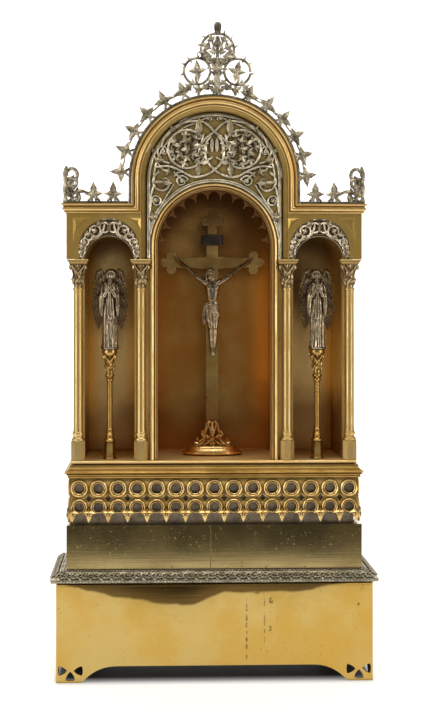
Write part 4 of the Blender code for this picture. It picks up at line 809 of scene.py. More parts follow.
# In these lacquers the hollow tone is orange, on the back brighter than the sheet: the corners are painted with the
# glow of light bouncing in the niches, a painted light. The bays' lacquer is a paler copy of the niche's, painted light
# for the bays.
amber_lacquer = metal_finish(
    "amber_lacquer", (0.90, 0.52, 0.14), (0.80, 0.38, 0.07), (0.74, 0.30, 0.05), 0.30,
    cloud=8.0, speck=0.2, reach=0.03, dirt_and_painted_light=0.8, wave=12.0, wave_depth=0.0012,
)
outer_sheet = metal_finish(
    "outer_sheet", (0.72, 0.52, 0.21), (0.60, 0.42, 0.15), (0.12, 0.07, 0.02), 0.32,
    cloud=12.0, speck=0.35, dirt_and_painted_light=0.6, wave=8.0, wave_depth=0.0012,
)
bay_lacquer = metal_finish(
    "bay_lacquer", (1.0, 0.78, 0.36), (0.96, 0.66, 0.24), (0.96, 0.54, 0.14), 0.34,
    cloud=11.0, speck=0.2, reach=0.03, dirt_and_painted_light=0.6, wave=12.0, wave_depth=0.0012,
)
back_lacquer = metal_finish(
    "back_lacquer", (0.47, 0.275, 0.076), (0.40, 0.175, 0.032), (0.78, 0.36, 0.07), 0.26,
    cloud=8.0, speck=0.15, reach=0.03, dirt_and_painted_light=0.7, wave=12.0, wave_depth=0.0012,
)


def paint_light_inside(finish, veil, pale):
    """Paints light and shade into the lacquer by place: painted shade at the top and darker
    towards the bottom; veil is how thick and milky the lacquer is.

    On a back, pale is how much paler and milkier the bays are than the niche, paler as painted
    light, and the niche takes painted shade at its left and a painted orange reflection at its right.
    """
    tree = finish.node_tree
    shader = tree.nodes["Principled BSDF"]
    spot, split = point_on(tree)
    drift = add_node(tree, "TexNoise", {"Vector": spot, "Scale": 13.0, "Detail": 4.0})
    sideways = reckon(tree, "ABSOLUTE", split["X"])
    height = reckon(tree, "MULTIPLY_ADD", drift, 0.16, split["Z"])
    bay_edge = reckon(tree, "ABSOLUTE", reckon(tree, "SUBTRACT", sideways, BAY_X))
    shade_height = reckon(tree, "ADD", height, span(tree, bay_edge, 0.044, 0.040, "LINEAR", To_Max=0.07 * pale))
    tone = shader.inputs["Base Color"].links[0].from_socket
    # Painted light and shade by place: shade down the left, an orange reflection down the right, paler bays with an
    # orange rim, shade at the top, and darker towards the bottom.
    for source, start, end, share, color in (
        (split["X"], -0.060, -0.086, 0.5 * pale, (0.44, 0.15, 0.02)),
        (split["X"], 0.050, 0.086, 0.9 * pale, (0.95, 0.42, 0.06)),
        (bay_edge, 0.044, 0.040, pale, (1.0, 0.56, 0.12)),
        (bay_edge, 0.036, 0.014, 0.95 * pale, (0.97, 0.72, 0.32)),
        (shade_height, 0.60, 0.75, 0.86, (0.11, 0.052, 0.018)),
        (height, 0.50, 0.41, 0.66, (0.24, 0.072, 0.012)),
    ):
        tone = blend(tree, span(tree, source, start, end, To_Max=share), tone, color)
    metallic = 1.0 - veil
    if pale:
        metallic = span(tree, sideways, 0.094, 0.100, "LINEAR", To_Min=metallic, To_Max=0.85)
        normal = add_node(tree, "NewGeometry", {}).outputs["Normal"]
        rearward = add_node(tree, "SeparateXYZ", {"Vector": normal}).outputs["Y"]
        tone = blend(tree, rearward, tone, (0.66, 0.47, 0.18))
    feed(shader, {"Metallic": metallic, "Base Color": tone})


# Painted shade and light in the niches, the bays and the back.
paint_light_inside(amber_lacquer, 0.15, 0.0)
paint_light_inside(bay_lacquer, 0.15, 0.0)
paint_light_inside(back_lacquer, 0.10, 1.0)
front, back = LOWER_FRONT + SHEET + GAP, BACK - SHEET - GAP
for name, x, half, spring in (
    ("center", 0.0, 0.0866, NICHE_Z), ("left", -BAY_X, 0.0350, IMPOST_TOP), ("right", BAY_X, 0.0350, IMPOST_TOP)
):
    bm = bmesh.new()
    sheet = [(half, front), (half + SHEET, front), (half + SHEET, back), (half, back)]
    arched_run(bm, sheet, x, spring, FLOOR)
    foot = [(x - half, back - 0.0008, FLOOR + 0.0002, 0.0010), (x + half, back - 0.0008, FLOOR + 0.0002, 0.0010)]
    add_strands(bm, [foot], smooth=1)
    finish_piece("vault_" + name, bm, bay_lacquer if x else amber_lacquer, "niche_brass", "niche_" + name, sharp=20)
dress_node(back_lacquer, "cabinet_back")
dress_node(outer_sheet, "side_wall_left", "side_wall_right", "bay_roof_left", "bay_roof_right")
for place in ("outer_left", "inner_left", "inner_right", "outer_right"):
    dress_node(outer_sheet, "pilaster_" + place)
low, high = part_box("arch_shell")
bm = bmesh.new()
roof_inner = CROWN_INNER + 0.0093
arched_run(bm, [(roof_inner, low.y), (roof_inner + SHEET, low.y), (roof_inner + SHEET, high.y), (roof_inner, high.y)],
           0.0, ARCH_Z, low.z)
finish_piece("barrel_roof", bm, outer_sheet, "sheet_brass", "arch_shell", sharp=20)

# ------------------------------------------------------------------ upper front
# One thick brass plate closes the front over the columns. It is cut by the great arch and
# the two side arches, and its spandrels hold small sunk panels with bright sloping edges.

satin_plate = metal_finish(
    "satin_plate", (0.65, 0.435, 0.130), (0.55, 0.35, 0.09), (0.14, 0.08, 0.025), 0.32,
    cloud=30.0, speck=0.35, reach=0.004, dirt_and_painted_light=0.7, wave=14.0, wave_depth=0.0008,
)
UPPER_HALF, CROWN_BOTTOM = 0.2030, 0.6390
BAY_OUTER, BAY_OUTER_Z = 0.0416, 0.5898
bm = bmesh.new()
plate_top, plate_arch = CROWN_BOTTOM + 0.009, CROWN_INNER + 0.009
outline = [(UPPER_HALF, IMPOST_TOP), (UPPER_HALF, plate_top), (plate_arch, plate_top)]
outline += arc(0, ARCH_Z, plate_arch, 0, 180, 64)
outline += [(-plate_arch, plate_top), (-UPPER_HALF, plate_top), (-UPPER_HALF, IMPOST_TOP)]
for side in (-1, 0, 1):
    radius, spring, steps = (BAY_OUTER, BAY_OUTER_Z, 56) if side else (CROWN_INNER, ARCH_Z, 72)
    x = side * BAY_X
    outline += [(x - radius, IMPOST_TOP)] + arc(x, spring, radius, 180, 0, steps) + [(x + radius, IMPOST_TOP)]
panels = []
panel_top, panel_arch = 0.6322, 0.0508
for side in (-1, 1):
    for way, reach in ((side, 0.0492), (-side, 0.0428)):
        x = side * BAY_X
        low_turn = math.degrees(math.acos(reach / panel_arch))
        high_turn = math.degrees(math.asin((panel_top - BAY_OUTER_Z) / panel_arch))
        curve = arc(0, BAY_OUTER_Z, panel_arch, low_turn, high_turn, 12)
        panels.append([(x + way * px, pz) for px, pz in curve + [(reach, panel_top)]])
add_plate(bm, [outline] + panels, UPPER_FRONT, 0.0030, 0.0003)
for panel in panels:
    middle = sum((Vector(point) for point in panel), Vector((0, 0))) / len(panel)
    sunk = [middle + (Vector(point) - middle) * 0.56 for point in panel]
    bevel = ((0.0028, panel), (0.0002, panel), (0.0016, sunk))
    loft(bm, [[(x, UPPER_FRONT + depth, z) for x, z in edge] for depth, edge in bevel])
finish_piece("upper_front", bm, satin_plate, "sheet_brass", "facade", sharp=20)

# ------------------------------------------------------------------ great arch
# A run moulding goes along the cabinet's sides, over the bays, up the legs and round the
# great arch in one. Inside it a splayed olive reveal leads back to the tympanum.

run_brass = metal_finish(
    "run_brass", (0.81, 0.575, 0.245), (0.67, 0.435, 0.145), (0.16, 0.08, 0.025), 0.30,
    cloud=22.0, speck=0.2, reach=0.003, dirt_and_painted_light=0.55,
)
crown = [
    (0.0, 0.0), (0.0, 0.0014), (0.0010, 0.0024), (0.0020, 0.0027), (0.0024, 0.0016), (0.0030, 0.0030),
    (0.0042, 0.0044), (0.0056, 0.0050), (0.0070, 0.0048), (0.0082, 0.0040), (0.0090, 0.0028), (0.0096, 0.0034),
    (0.0102, 0.0048), (0.0110, 0.0060), (0.0118, 0.0066), (0.0131, 0.0066), (0.0131, -0.0030), (0.0096, 0.0),
]
front_face = UPPER_FRONT - GAP
left_rows = [
    [(-UPPER_HALF - GAP - v, BACK, CROWN_BOTTOM + u) for u, v in crown],
    [(-UPPER_HALF - GAP - v, front_face - v, CROWN_BOTTOM + u) for u, v in crown],
    [(-CROWN_INNER - u, front_face - v, CROWN_BOTTOM + u) for u, v in crown],
]
over = []
for i in range(73):
    t = math.pi - math.pi * i / 72
    over.append([
        ((CROWN_INNER + u) * math.cos(t), front_face - v, ARCH_Z + (CROWN_INNER + u) * math.sin(t))
        for u, v in crown
    ])
bm = bmesh.new()
loft(bm, left_rows + over + [[(-x, y, z) for x, y, z in row] for row in left_rows[::-1]])
finish_piece("crown_run", bm, run_brass, "cast_brass", "crown_moulding", sharp=28)

dull_plate = metal_finish(
    "dull_plate", (0.54, 0.37, 0.13), (0.43, 0.29, 0.09), (0.10, 0.06, 0.02), 0.36,
    cloud=30.0, speck=0.4, reach=0.005, dirt_and_painted_light=1.0,
)
TYMPANUM, REVEAL_INNER = -0.0640, 0.0938
bm = bmesh.new()
reveal = [
    (CROWN_INNER - GAP, UPPER_FRONT + 0.0006), (CROWN_INNER - GAP, UPPER_FRONT + 0.0030),
    (REVEAL_INNER, TYMPANUM + SHEET), (REVEAL_INNER, TYMPANUM - 0.0002),
    (REVEAL_INNER + 0.0006, TYMPANUM - 0.0010),
]
arched_run(bm, reveal, 0.0, ARCH_Z, IMPOST_TOP)
finish_piece("splayed_reveal", bm, dull_plate, "sheet_brass", "facade_reveal", sharp=20)

# ------------------------------------------------------------------ niche arch
# The middle niche has a moulding of two rolls and a thin lip that stands on the floor, with
# a fringe of small pointed cusps inside its round head.

inner, outer, NICHE_CLEAR = 0.0778, 0.0876, 0.0879
roll = [(inner + u, LOWER_FRONT - v) for u, v in (
    (0, 0), (0, 0.0120), (0.0004, 0.0128), (0.0012, 0.0128), (0.0016, 0.0118), (0.0019, 0.0142),
    (0.0026, 0.0155), (0.0036, 0.0158), (0.0044, 0.0150), (0.0048, 0.0138), (0.0052, 0.0160), (0.0060, 0.0173),
    (0.0071, 0.0178), (0.0082, 0.0174), (0.0089, 0.0166), (outer - inner, 0.0160), (outer - inner, 0),
)]
bm = bmesh.new()
arched_run(bm, roll, 0.0, NICHE_Z, FLOOR, 96)
finish_piece("niche_moulding", bm, run_brass, "cast_brass", "arch_moulding", sharp=28)

fringe_lacquer = metal_finish(
    "fringe_lacquer", (0.27, 0.125, 0.045), (0.18, 0.075, 0.026), (0.05, 0.02, 0.01), 0.30,
    cloud=60.0, speck=0.4, reach=0.005, dirt_and_painted_light=0.9,
)
bm = bmesh.new()
cusp_count, cusp_root, cusp_tip = 12, inner - 0.0016, inner - 0.0104
fringe = arc(0, NICHE_Z, inner - GAP, 0, 180, 72)
for i in range(cusp_count):
    for part in range(9):
        t = math.radians(180 - (i + part / 8) * 180 / cusp_count)
        dip = (1 - abs(part - 4) / 4) ** 2.2
        reach = cusp_root + (cusp_tip - cusp_root) * dip
        if part < 8 or i == cusp_count - 1:
            fringe.append((reach * math.cos(t), NICHE_Z + reach * math.sin(t)))
add_plate(bm, [fringe], LOWER_FRONT - 0.0110, 0.0016, 0.0004)
for i in range(cusp_count):
    t = math.radians(180 - (i + 0.5) * 180 / cusp_count)
    reach = cusp_tip - 0.0004
    place = (reach * math.cos(t), LOWER_FRONT - 0.0102, NICHE_Z + reach * math.sin(t))
    add_ball(bm, place, (0.0011, 0.0008, 0.0011), 8, 6)
finish_piece("niche_cusps", bm, fringe_lacquer, "cast_brass", "cusped_fringe")

# ------------------------------------------------------------------ columns
# Four round columns stand on eight-sided blocks. Block, shaft and stepped impost are turned
# or filed from brass; the capitals are silvered castings of crossing leaves and volutes.

COLUMN_Y = -0.0590
shaft_brass = metal_finish(
    "shaft_brass", (0.72, 0.515, 0.21), (0.60, 0.40, 0.14), (0.16, 0.09, 0.03), 0.34,
    cloud=26.0, speck=0.3, reach=0.004, dirt_and_painted_light=0.7,
)
silver_bronze = metal_finish(
    "silver_bronze", (0.65, 0.58, 0.43), (0.39, 0.34, 0.235), (0.06, 0.042, 0.02), 0.28,
    cloud=70.0, speck=0.35, reach=0.0030, dirt_and_painted_light=1.0, speck_scale=320.0, wave=300.0, wave_depth=0.0007,
)
stand_brass = metal_finish(
    "stand_brass", (0.56, 0.35, 0.11), (0.42, 0.245, 0.07), (0.09, 0.04, 0.014), 0.26,
    cloud=50.0, speck=0.35, reach=0.004, dirt_and_painted_light=1.0,
)
capital_bronze = metal_finish(
    "capital_bronze", (0.52, 0.385, 0.205), (0.36, 0.25, 0.12), (0.05, 0.03, 0.012), 0.28,
    cloud=70.0, speck=0.35, reach=0.0035, dirt_and_painted_light=1.0, speck_scale=320.0, wave=360.0, wave_depth=0.0005,
)


def turned(bm, profile, x, y, steps):
    """Turns a (radius, height) profile, both ends on the axis, about an upright line."""
    verts = [bm.verts.new((x + radius, y, z)) for radius, z in profile]
    edges = [bm.edges.new(pair) for pair in zip(verts, verts[1:])]
    bmesh.ops.spin(
        bm, geom=verts + edges, cent=(x, y, 0), axis=(0, 0, 1), angle=math.tau, steps=steps, use_merge=True
    )
    bmesh.ops.remove_doubles(bm, verts=bm.verts, dist=1e-6)


def trim(bm, point, outward):
    """Files a casting flat where it meets its neighbour."""
    geom = bm.verts[:] + bm.edges[:] + bm.faces[:]
    cut = bmesh.ops.bisect_plane(bm, geom=geom, plane_co=point, plane_no=outward, clear_outer=True)
    rim = [g for g in cut["geom_cut"] if isinstance(g, bmesh.types.BMEdge) and g.is_boundary]
    bmesh.ops.holes_fill(bm, edges=rim, sides=0)


def trim_to_cabinet(bm, x):
    """Files a capital or impost flat on the cabinet, and an inner one clear of the niche arch."""
    trim(bm, (0, LOWER_FRONT - GAP, 0), (0, 1, 0))
    if abs(x) < BAY_X:
        side = 1 if x > 0 else -1
        trim(bm, (side * NICHE_CLEAR, 0, 0), (-side, 0, 0))


def leafy_capital(bm, x, y, low, high, neck, top):
    """Bell with a ring of upright leaves below, crossing stems above and curled corners."""
    tall = high - low
    bell = [
        (0, low), (neck * 0.96, low), (neck * 0.90, low + tall * 0.3), (neck * 1.05, low + tall * 0.7),
        (top * 0.80, low + tall * 0.93), (top * 0.84, high), (0, high),
    ]
    turned(bm, bell, x, y, 24)
    for k in range(8):
        place = turned_at(x, y, 0, math.tau * (k + 0.5) / 8) @ at_point(0, -neck * 1.02, low + tall * 0.26, 90, -14)
        add_leaf(bm, place, tall * 0.34, ((0, 1.0), (58, 0.66), (-58, 0.66), (180, 0.5)), 0.26, 0.20, 0.30, 0.0014)
    for k in range(4):
        face = turned_at(x, y, 0, math.tau * k / 4)
        for side in (-1, 1):
            stem = [(side * reach * u, -reach * v, low + tall * w, radius) for reach, u, v, w, radius in (
                (neck, -0.62, 0.98, 0.36, 0.0009), (neck, 0.12, 1.10, 0.62, 0.0010), (top, 0.60, 0.82, 0.84, 0.0011),
                (top, 0.86, 0.90, 0.95, 0.0013), (top, 0.98, 0.96, 0.84, 0.0012), (top, 0.84, 0.94, 0.77, 0.0009),
            )]
            add_strands(bm, [stem], face, smooth=4)
        bud = face @ at_point(0, -top * 0.86, low + tall * 0.86, 90, 10)
        add_leaf(bm, bud, tall * 0.22, ((0, 1.0), (120, 0.8), (-120, 0.8)), 0.26, 0.30, 0.30, 0.0010)


neck, bell_top, block_top, base_top = 0.5380, 0.5690, 0.3265, 0.3460
for place, x in (("outer_left", -0.1875), ("inner_left", -0.1010), ("inner_right", 0.1010), ("outer_right", 0.1875)):
    bm = bmesh.new()
    across = 0.0095 / math.cos(math.pi / 8)
    step = [
        (0, FLOOR), (across, FLOOR), (across, block_top - 0.0006), (across - 0.0005, block_top - 0.0002),
        (0, block_top - 0.0002),
    ]
    turned(bm, step, 0.0, 0.0, 8)
    bmesh.ops.transform(bm, matrix=turned_at(x, COLUMN_Y, 0, math.pi / 8), verts=bm.verts)
    finish_piece("block_" + place, bm, shaft_brass, "cast_brass", "column_block_" + place, sharp=25)

    bm = bmesh.new()
    shaft = [(radius, block_top + rise) for radius, rise in (
        (0, 0), (0.0088, 0), (0.0092, 0.0006), (0.0092, 0.0022), (0.0088, 0.0032), (0.0080, 0.0038), (0.0072, 0.0046),
        (0.0069, 0.0060), (0.0072, 0.0074), (0.0079, 0.0084), (0.0081, 0.0098), (0.0078, 0.0112), (0.0070, 0.0120),
        (0.0069, 0.0136), (0.0065, 0.0150),
    )] + [(0.0064, base_top), (0.0064, 0.44)]
    shaft += [(radius, neck - drop) for radius, drop in (
        (0.0062, 0.0060), (0.0064, 0.0050), (0.0072, 0.0044), (0.0075, 0.0030), (0.0072, 0.0016), (0.0062, 0.0010),
        (0.0060, 0.0003), (0, 0.0003),
    )]
    turned(bm, shaft, x, COLUMN_Y, 48)
    finish_piece("shaft_" + place, bm, shaft_brass, "cast_brass", "column_" + place)

    bm = bmesh.new()
    leafy_capital(bm, x, COLUMN_Y, neck, bell_top, 0.0064, 0.0112)
    trim_to_cabinet(bm, x)
    finish_piece("leaf_capital_" + place, bm, capital_bronze, "silvered_bronze", "capital_" + place)

    bm = bmesh.new()
    slab = [(half, bell_top + GAP + rise) for half, rise in (
        (0.0114, 0), (0.0119, 0.0004), (0.0120, 0.0018), (0.0130, 0.0023), (0.0133, 0.0032), (0.0130, 0.0036),
        (0.0143, 0.0041), (0.0145, 0.0046),
    )] + [(0.0145, IMPOST_TOP - 0.0008), (0.0141, IMPOST_TOP - GAP)]
    square = ((-1, -1), (1, -1), (1, 1), (-1, 1))
    loft(bm, [[(x + u * half, COLUMN_Y + v * half, level) for u, v in square] for half, level in slab])
    trim_to_cabinet(bm, x)
    finish_piece("stepped_impost_" + place, bm, shaft_brass, "cast_brass", "impost_" + place)

# ------------------------------------------------------------------ pedestals
# Each angel stands on a slender turned stand with a six-sided foot, knopped base, reeded
# shaft and a leafy head under a flat abacus.

pedestal_y, pedestal_top = -0.0400, 0.4510
for name, side in (("left", -1), ("right", 1)):
    x = side * BAY_X
    bm = bmesh.new()
    foot = [(radius, FLOOR + rise) for radius, rise in (
        (0, 0), (0.0098, 0), (0.0094, 0.0012), (0.0086, 0.0018), (0.0079, 0.0226), (0.0074, 0.0236), (0, 0.0236),
    )]
    turned(bm, foot, x, pedestal_y, 6)
    stem = [(radius, FLOOR + rise) for radius, rise in (
        (0, 0.0230), (0.0066, 0.0238), (0.0078, 0.0250), (0.0080, 0.0266), (0.0070, 0.0284), (0.0052, 0.0296),
        (0.0048, 0.0310), (0.0062, 0.0330), (0.0064, 0.0344), (0.0056, 0.0358), (0.0042, 0.0372), (0.0040, 0.0386),
        (0.0052, 0.0398), (0.0053, 0.0412), (0.0042, 0.0424), (0.0034, 0.0440),
    )] + [
        (0.0033, 0.4060), (0.0044, 0.4074), (0.0052, 0.4088), (0.0050, 0.4102), (0.0042, 0.4112), (0.0058, 0.4130),
        (0.0070, 0.4146), (0.0066, 0.4160), (0.0052, 0.4180), (0.0048, 0.4200), (0, 0.4202),
    ]
    turned(bm, stem, x, pedestal_y, 32)
    for k in range(8):
        t = math.tau * k / 8
        u, v = x + 0.0032 * math.cos(t), pedestal_y + 0.0032 * math.sin(t)
        add_strands(bm, [[(u, v, z, 0.0007) for z in (FLOOR + 0.0435, 0.375, 0.4066)]], smooth=1)
    slab = [
        (0, 0.4436), (0.0088, 0.4436), (0.0094, 0.4448), (0.0106, 0.4462), (0.0108, 0.4474), (0.0108, 0.4502),
        (0.0104, pedestal_top), (0, pedestal_top),
    ]
    turned(bm, slab, x, pedestal_y, 48)
    leafy_capital(bm, x, pedestal_y, 0.4196, 0.4440, 0.0056, 0.0084)
    finish_piece("stand_" + name, bm, stand_brass, "cast_brass", "pedestal_" + name)

# ------------------------------------------------------------------ tympanum
# Behind the great arch a dull gold sheet carries a silvered casting: a twisted border, two
# wreaths full of ivy rosettes, crossing stems, lance leaves, and scrolls in the corners.

ground_gold = metal_finish(
    "ground_gold", (0.64, 0.45, 0.165), (0.44, 0.31, 0.105), (0.08, 0.05, 0.016), 0.34,
    cloud=70.0, speck=0.7, reach=0.005, dirt_and_painted_light=1.0, wave=240.0, wave_depth=0.0005,
)
bm = bmesh.new()
edge = REVEAL_INNER - GAP
sheet = [(edge, IMPOST_TOP)] + arc(0, ARCH_Z, edge, 0, 180, 64) + [(-edge, IMPOST_TOP)]
sheet += [(-NICHE_CLEAR, IMPOST_TOP)] + arc(0, NICHE_Z, NICHE_CLEAR, 180, 0, 64) + [(NICHE_CLEAR, IMPOST_TOP)]
add_plate(bm, [sheet], TYMPANUM, SHEET, 0.0002)
finish_piece("tympanum_sheet", bm, ground_gold, "niche_brass", "tympanum_ground", sharp=20)

scroll_front = TYMPANUM - GAP


def flat_run(points, width, end_width, depth=0.0010):
    """Strand points (x, z) laid on the tympanum, tapering from one width to the other."""
    count = len(points) - 1
    return [
        (x, scroll_front - depth, z, (width + (end_width - width) * i / count) / 2)
        for i, (x, z) in enumerate(points)
    ]


def ivy(bm, x, z, size, turn, side, front, tilt, lobes):
    """A leaf of the casting, mirrored with its side."""
    place = at_point(side * x, front, z, 0, 0, side) @ at_point(0, 0, 0, turn, tilt)
    add_leaf(bm, place, size, lobes, 0.24, 0.24, 0.32)


def curl(x, z, radius, start, turns, side, lead):
    """A spiral strand that winds in about (x, z), after the points that lead to it."""
    points = list(lead)
    for i in range(int(abs(turns) * 8) + 1):
        t = math.radians(start + 45 * i * (1 if turns > 0 else -1))
        reach = radius * (1 - 0.72 * i / (abs(turns) * 8))
        points.append((x + reach * math.cos(t), z + reach * math.sin(t)))
    return [(side * px, pz) for px, pz in points]


bm = bmesh.new()
frame_radius = REVEAL_INNER - 0.0030
for radius, centre, foot in ((frame_radius, ARCH_Z, IMPOST_TOP + 0.0004), (0.0910, NICHE_Z, NICHE_Z + 0.0138)):
    border = [(radius + u, scroll_front - v) for u, v in (
        (-0.0028, 0), (-0.0026, 0.0012), (-0.0014, 0.0024), (-0.0002, 0.0027), (0.0012, 0.0023), (0.0022, 0.0012),
        (0.0024, 0),
    )]
    arched_run(bm, border, 0.0, centre, foot)

wreath_x, wreath_z, wreath_r = 0.0375, 0.7278, 0.0262
spiky = ((0, 1.0), (66, 0.84), (-66, 0.84), (132, 0.62), (-132, 0.62))
lance = ((0, 1.0), (180, 0.78))
crossed = ((0, 1.0), (90, 0.55), (-90, 0.55), (180, 0.9))
for side in (-1, 1):
    runs = []
    for points, width, end_width, lift in (
        (arc(wreath_x, wreath_z, wreath_r, 150, -190, 16), 0.0044, 0.0036, 0.0012),
        (arc(0, ARCH_Z, 0.0832, -4, 74, 12), 0.0034, 0.0028, 0.0008),
        ([(0.0229, 0.7650), (0.0130, 0.7698), (0.0085, 0.7722), (0.0040, 0.7700), (0.0060, 0.7668)],
         0.0028, 0.0022, 0.0010),
        ([(0.0735, 0.7300), (0.0690, 0.7430), (0.0590, 0.7550), (0.0473, 0.7622), (0.0294, 0.7660), (0.0157, 0.7650),
          (0.0070, 0.7590), (-0.0010, 0.7510), (-0.0100, 0.7440), (-0.0190, 0.7350)], 0.0032, 0.0042, 0.0018),
        ([(0.0050, 0.7460), (0.0110, 0.7370), (0.0130, 0.7262), (0.0110, 0.7130), (0.0, 0.6994), (-0.0157, 0.6908),
          (-0.0310, 0.6900), (-0.0473, 0.6985), (-0.0640, 0.7040), (-0.0800, 0.7030)], 0.0044, 0.0034, 0.0014),
        ([(0.0150, 0.7480), (0.0190, 0.7320), (0.0240, 0.7180)], 0.0030, 0.0030, 0.0022),
        ([(0.0080, 0.7360), (0.0190, 0.7310), (0.0320, 0.7270)], 0.0030, 0.0026, 0.0024),
        ([(0.0090, 0.7220), (0.0180, 0.7300), (0.0270, 0.7400)], 0.0028, 0.0026, 0.0026),
        ([(0.0020, 0.7170), (0.0150, 0.7100), (0.0260, 0.7080)], 0.0034, 0.0030, 0.0020),
        ([(0.0560, 0.6900), (0.0490, 0.6960), (0.0400, 0.6950)], 0.0030, 0.0026, 0.0010),
        ([(0.0700, 0.6980), (0.0800, 0.7120), (0.0850, 0.7250)], 0.0028, 0.0024, 0.0008),
        ([(0.0840, 0.6760), (0.0872, 0.6640), (0.0884, 0.6480), (0.0892, 0.6300), (0.0896, 0.6140)],
         0.0034, 0.0036, 0.0008),
        ([(0.0560, 0.6790), (0.0640, 0.6660), (0.0740, 0.6500), (0.0830, 0.6380)], 0.0026, 0.0026, 0.0008),
    ):
        runs.append(flat_run([(side * px, pz) for px, pz in points], width, end_width, lift))
    for width, end_width, *spiral in (
        (0.0034, 0.0020, 0.0705, 0.7248, 0.0086, -60, 1.2, side, [(0.0620, 0.7080), (0.0720, 0.7120)]),
        (0.0034, 0.0020, 0.0451, 0.6835, 0.0082, 170, -1.4, side, [(0.0560, 0.6960)]),
        (0.0040, 0.0034, 0.0705, 0.6818, 0.0160, 70, -1.0, side, []),
        (0.0032, 0.0018, 0.0800, 0.6560, 0.0074, 60, 1.4, side, [(0.0880, 0.6480)]),
    ):
        runs.append(flat_run(curl(*spiral), width, end_width))
    add_strands(bm, runs, smooth=4, round_steps=2)
    for ring, (count, reach, size, lift) in enumerate((
        (9, 0.0188, 0.0112, 0.0012), (6, 0.0100, 0.0118, 0.0026), (1, 0.0, 0.0110, 0.0042),
    )):
        for k in range(count):
            turn = 360 * (k + 0.5 * ring) / count + 11 * math.sin(5.1 * k + side)
            t = math.radians(turn)
            px, pz = wreath_x + reach * math.cos(t), wreath_z + reach * math.sin(t)
            turn, tilt = turn + 24 * math.sin(3.7 * k), 10 * math.sin(2.9 * k)
            ivy(bm, px, pz, size, turn, side, scroll_front - lift, tilt, spiky)
    for px, pz, size, turn, lobes in (
        (0.0215, 0.7555, 0.0160, 92, lance), (0.0220, 0.7005, 0.0120, -88, lance),
        (0.0150, 0.7092, 0.0090, 178, lance), (0.0705, 0.6816, 0.0150, 4, crossed),
        (0.0760, 0.7120, 0.0092, 100, spiky), (0.0630, 0.6965, 0.0088, 20, spiky), (0.0570, 0.7540, 0.0078, 60, spiky),
        (0.0845, 0.6330, 0.0104, 80, spiky), (0.0800, 0.6560, 0.0056, 40, spiky), (0.0850, 0.7250, 0.0060, 70, spiky),
        (0.0195, 0.7308, 0.0070, 30, spiky),
    ):
        ivy(bm, px, pz, size, turn, side, scroll_front - 0.0022, 0, lobes)
    add_ball(bm, (side * 0.0034, scroll_front - 0.0016, 0.7335), (0.0027, 0.0022, 0.0098), 12, 10)
    for px, pz, size in (
        (0.0705, 0.7248, 0.0030), (0.0451, 0.6835, 0.0028), (0.0, 0.7000, 0.0026), (0.0085, 0.7700, 0.0022),
    ):
        add_ball(bm, (side * px, scroll_front - 0.0014, pz), (size, size * 0.7, size), 12, 8)
finish_piece("tympanum_casting", bm, silver_bronze, "silvered_bronze", "tympanum_scrollwork")

# ------------------------------------------------------------------ archivolts
# The side arches carry silvered crescents: a rim on each edge, and between them a running
# stem, open rings and small ivy leaves that lie over a thin sunk plate.

CRESCENT_Z, LIP_Z = 0.5735, 0.5745
crescent_bronze = metal_finish(
    "crescent_bronze", (0.64, 0.55, 0.41), (0.42, 0.34, 0.23), (0.12, 0.075, 0.03), 0.28,
    cloud=90.0, speck=0.5, reach=0.0030, dirt_and_painted_light=1.0, wave=300.0, wave_depth=0.0007,
)
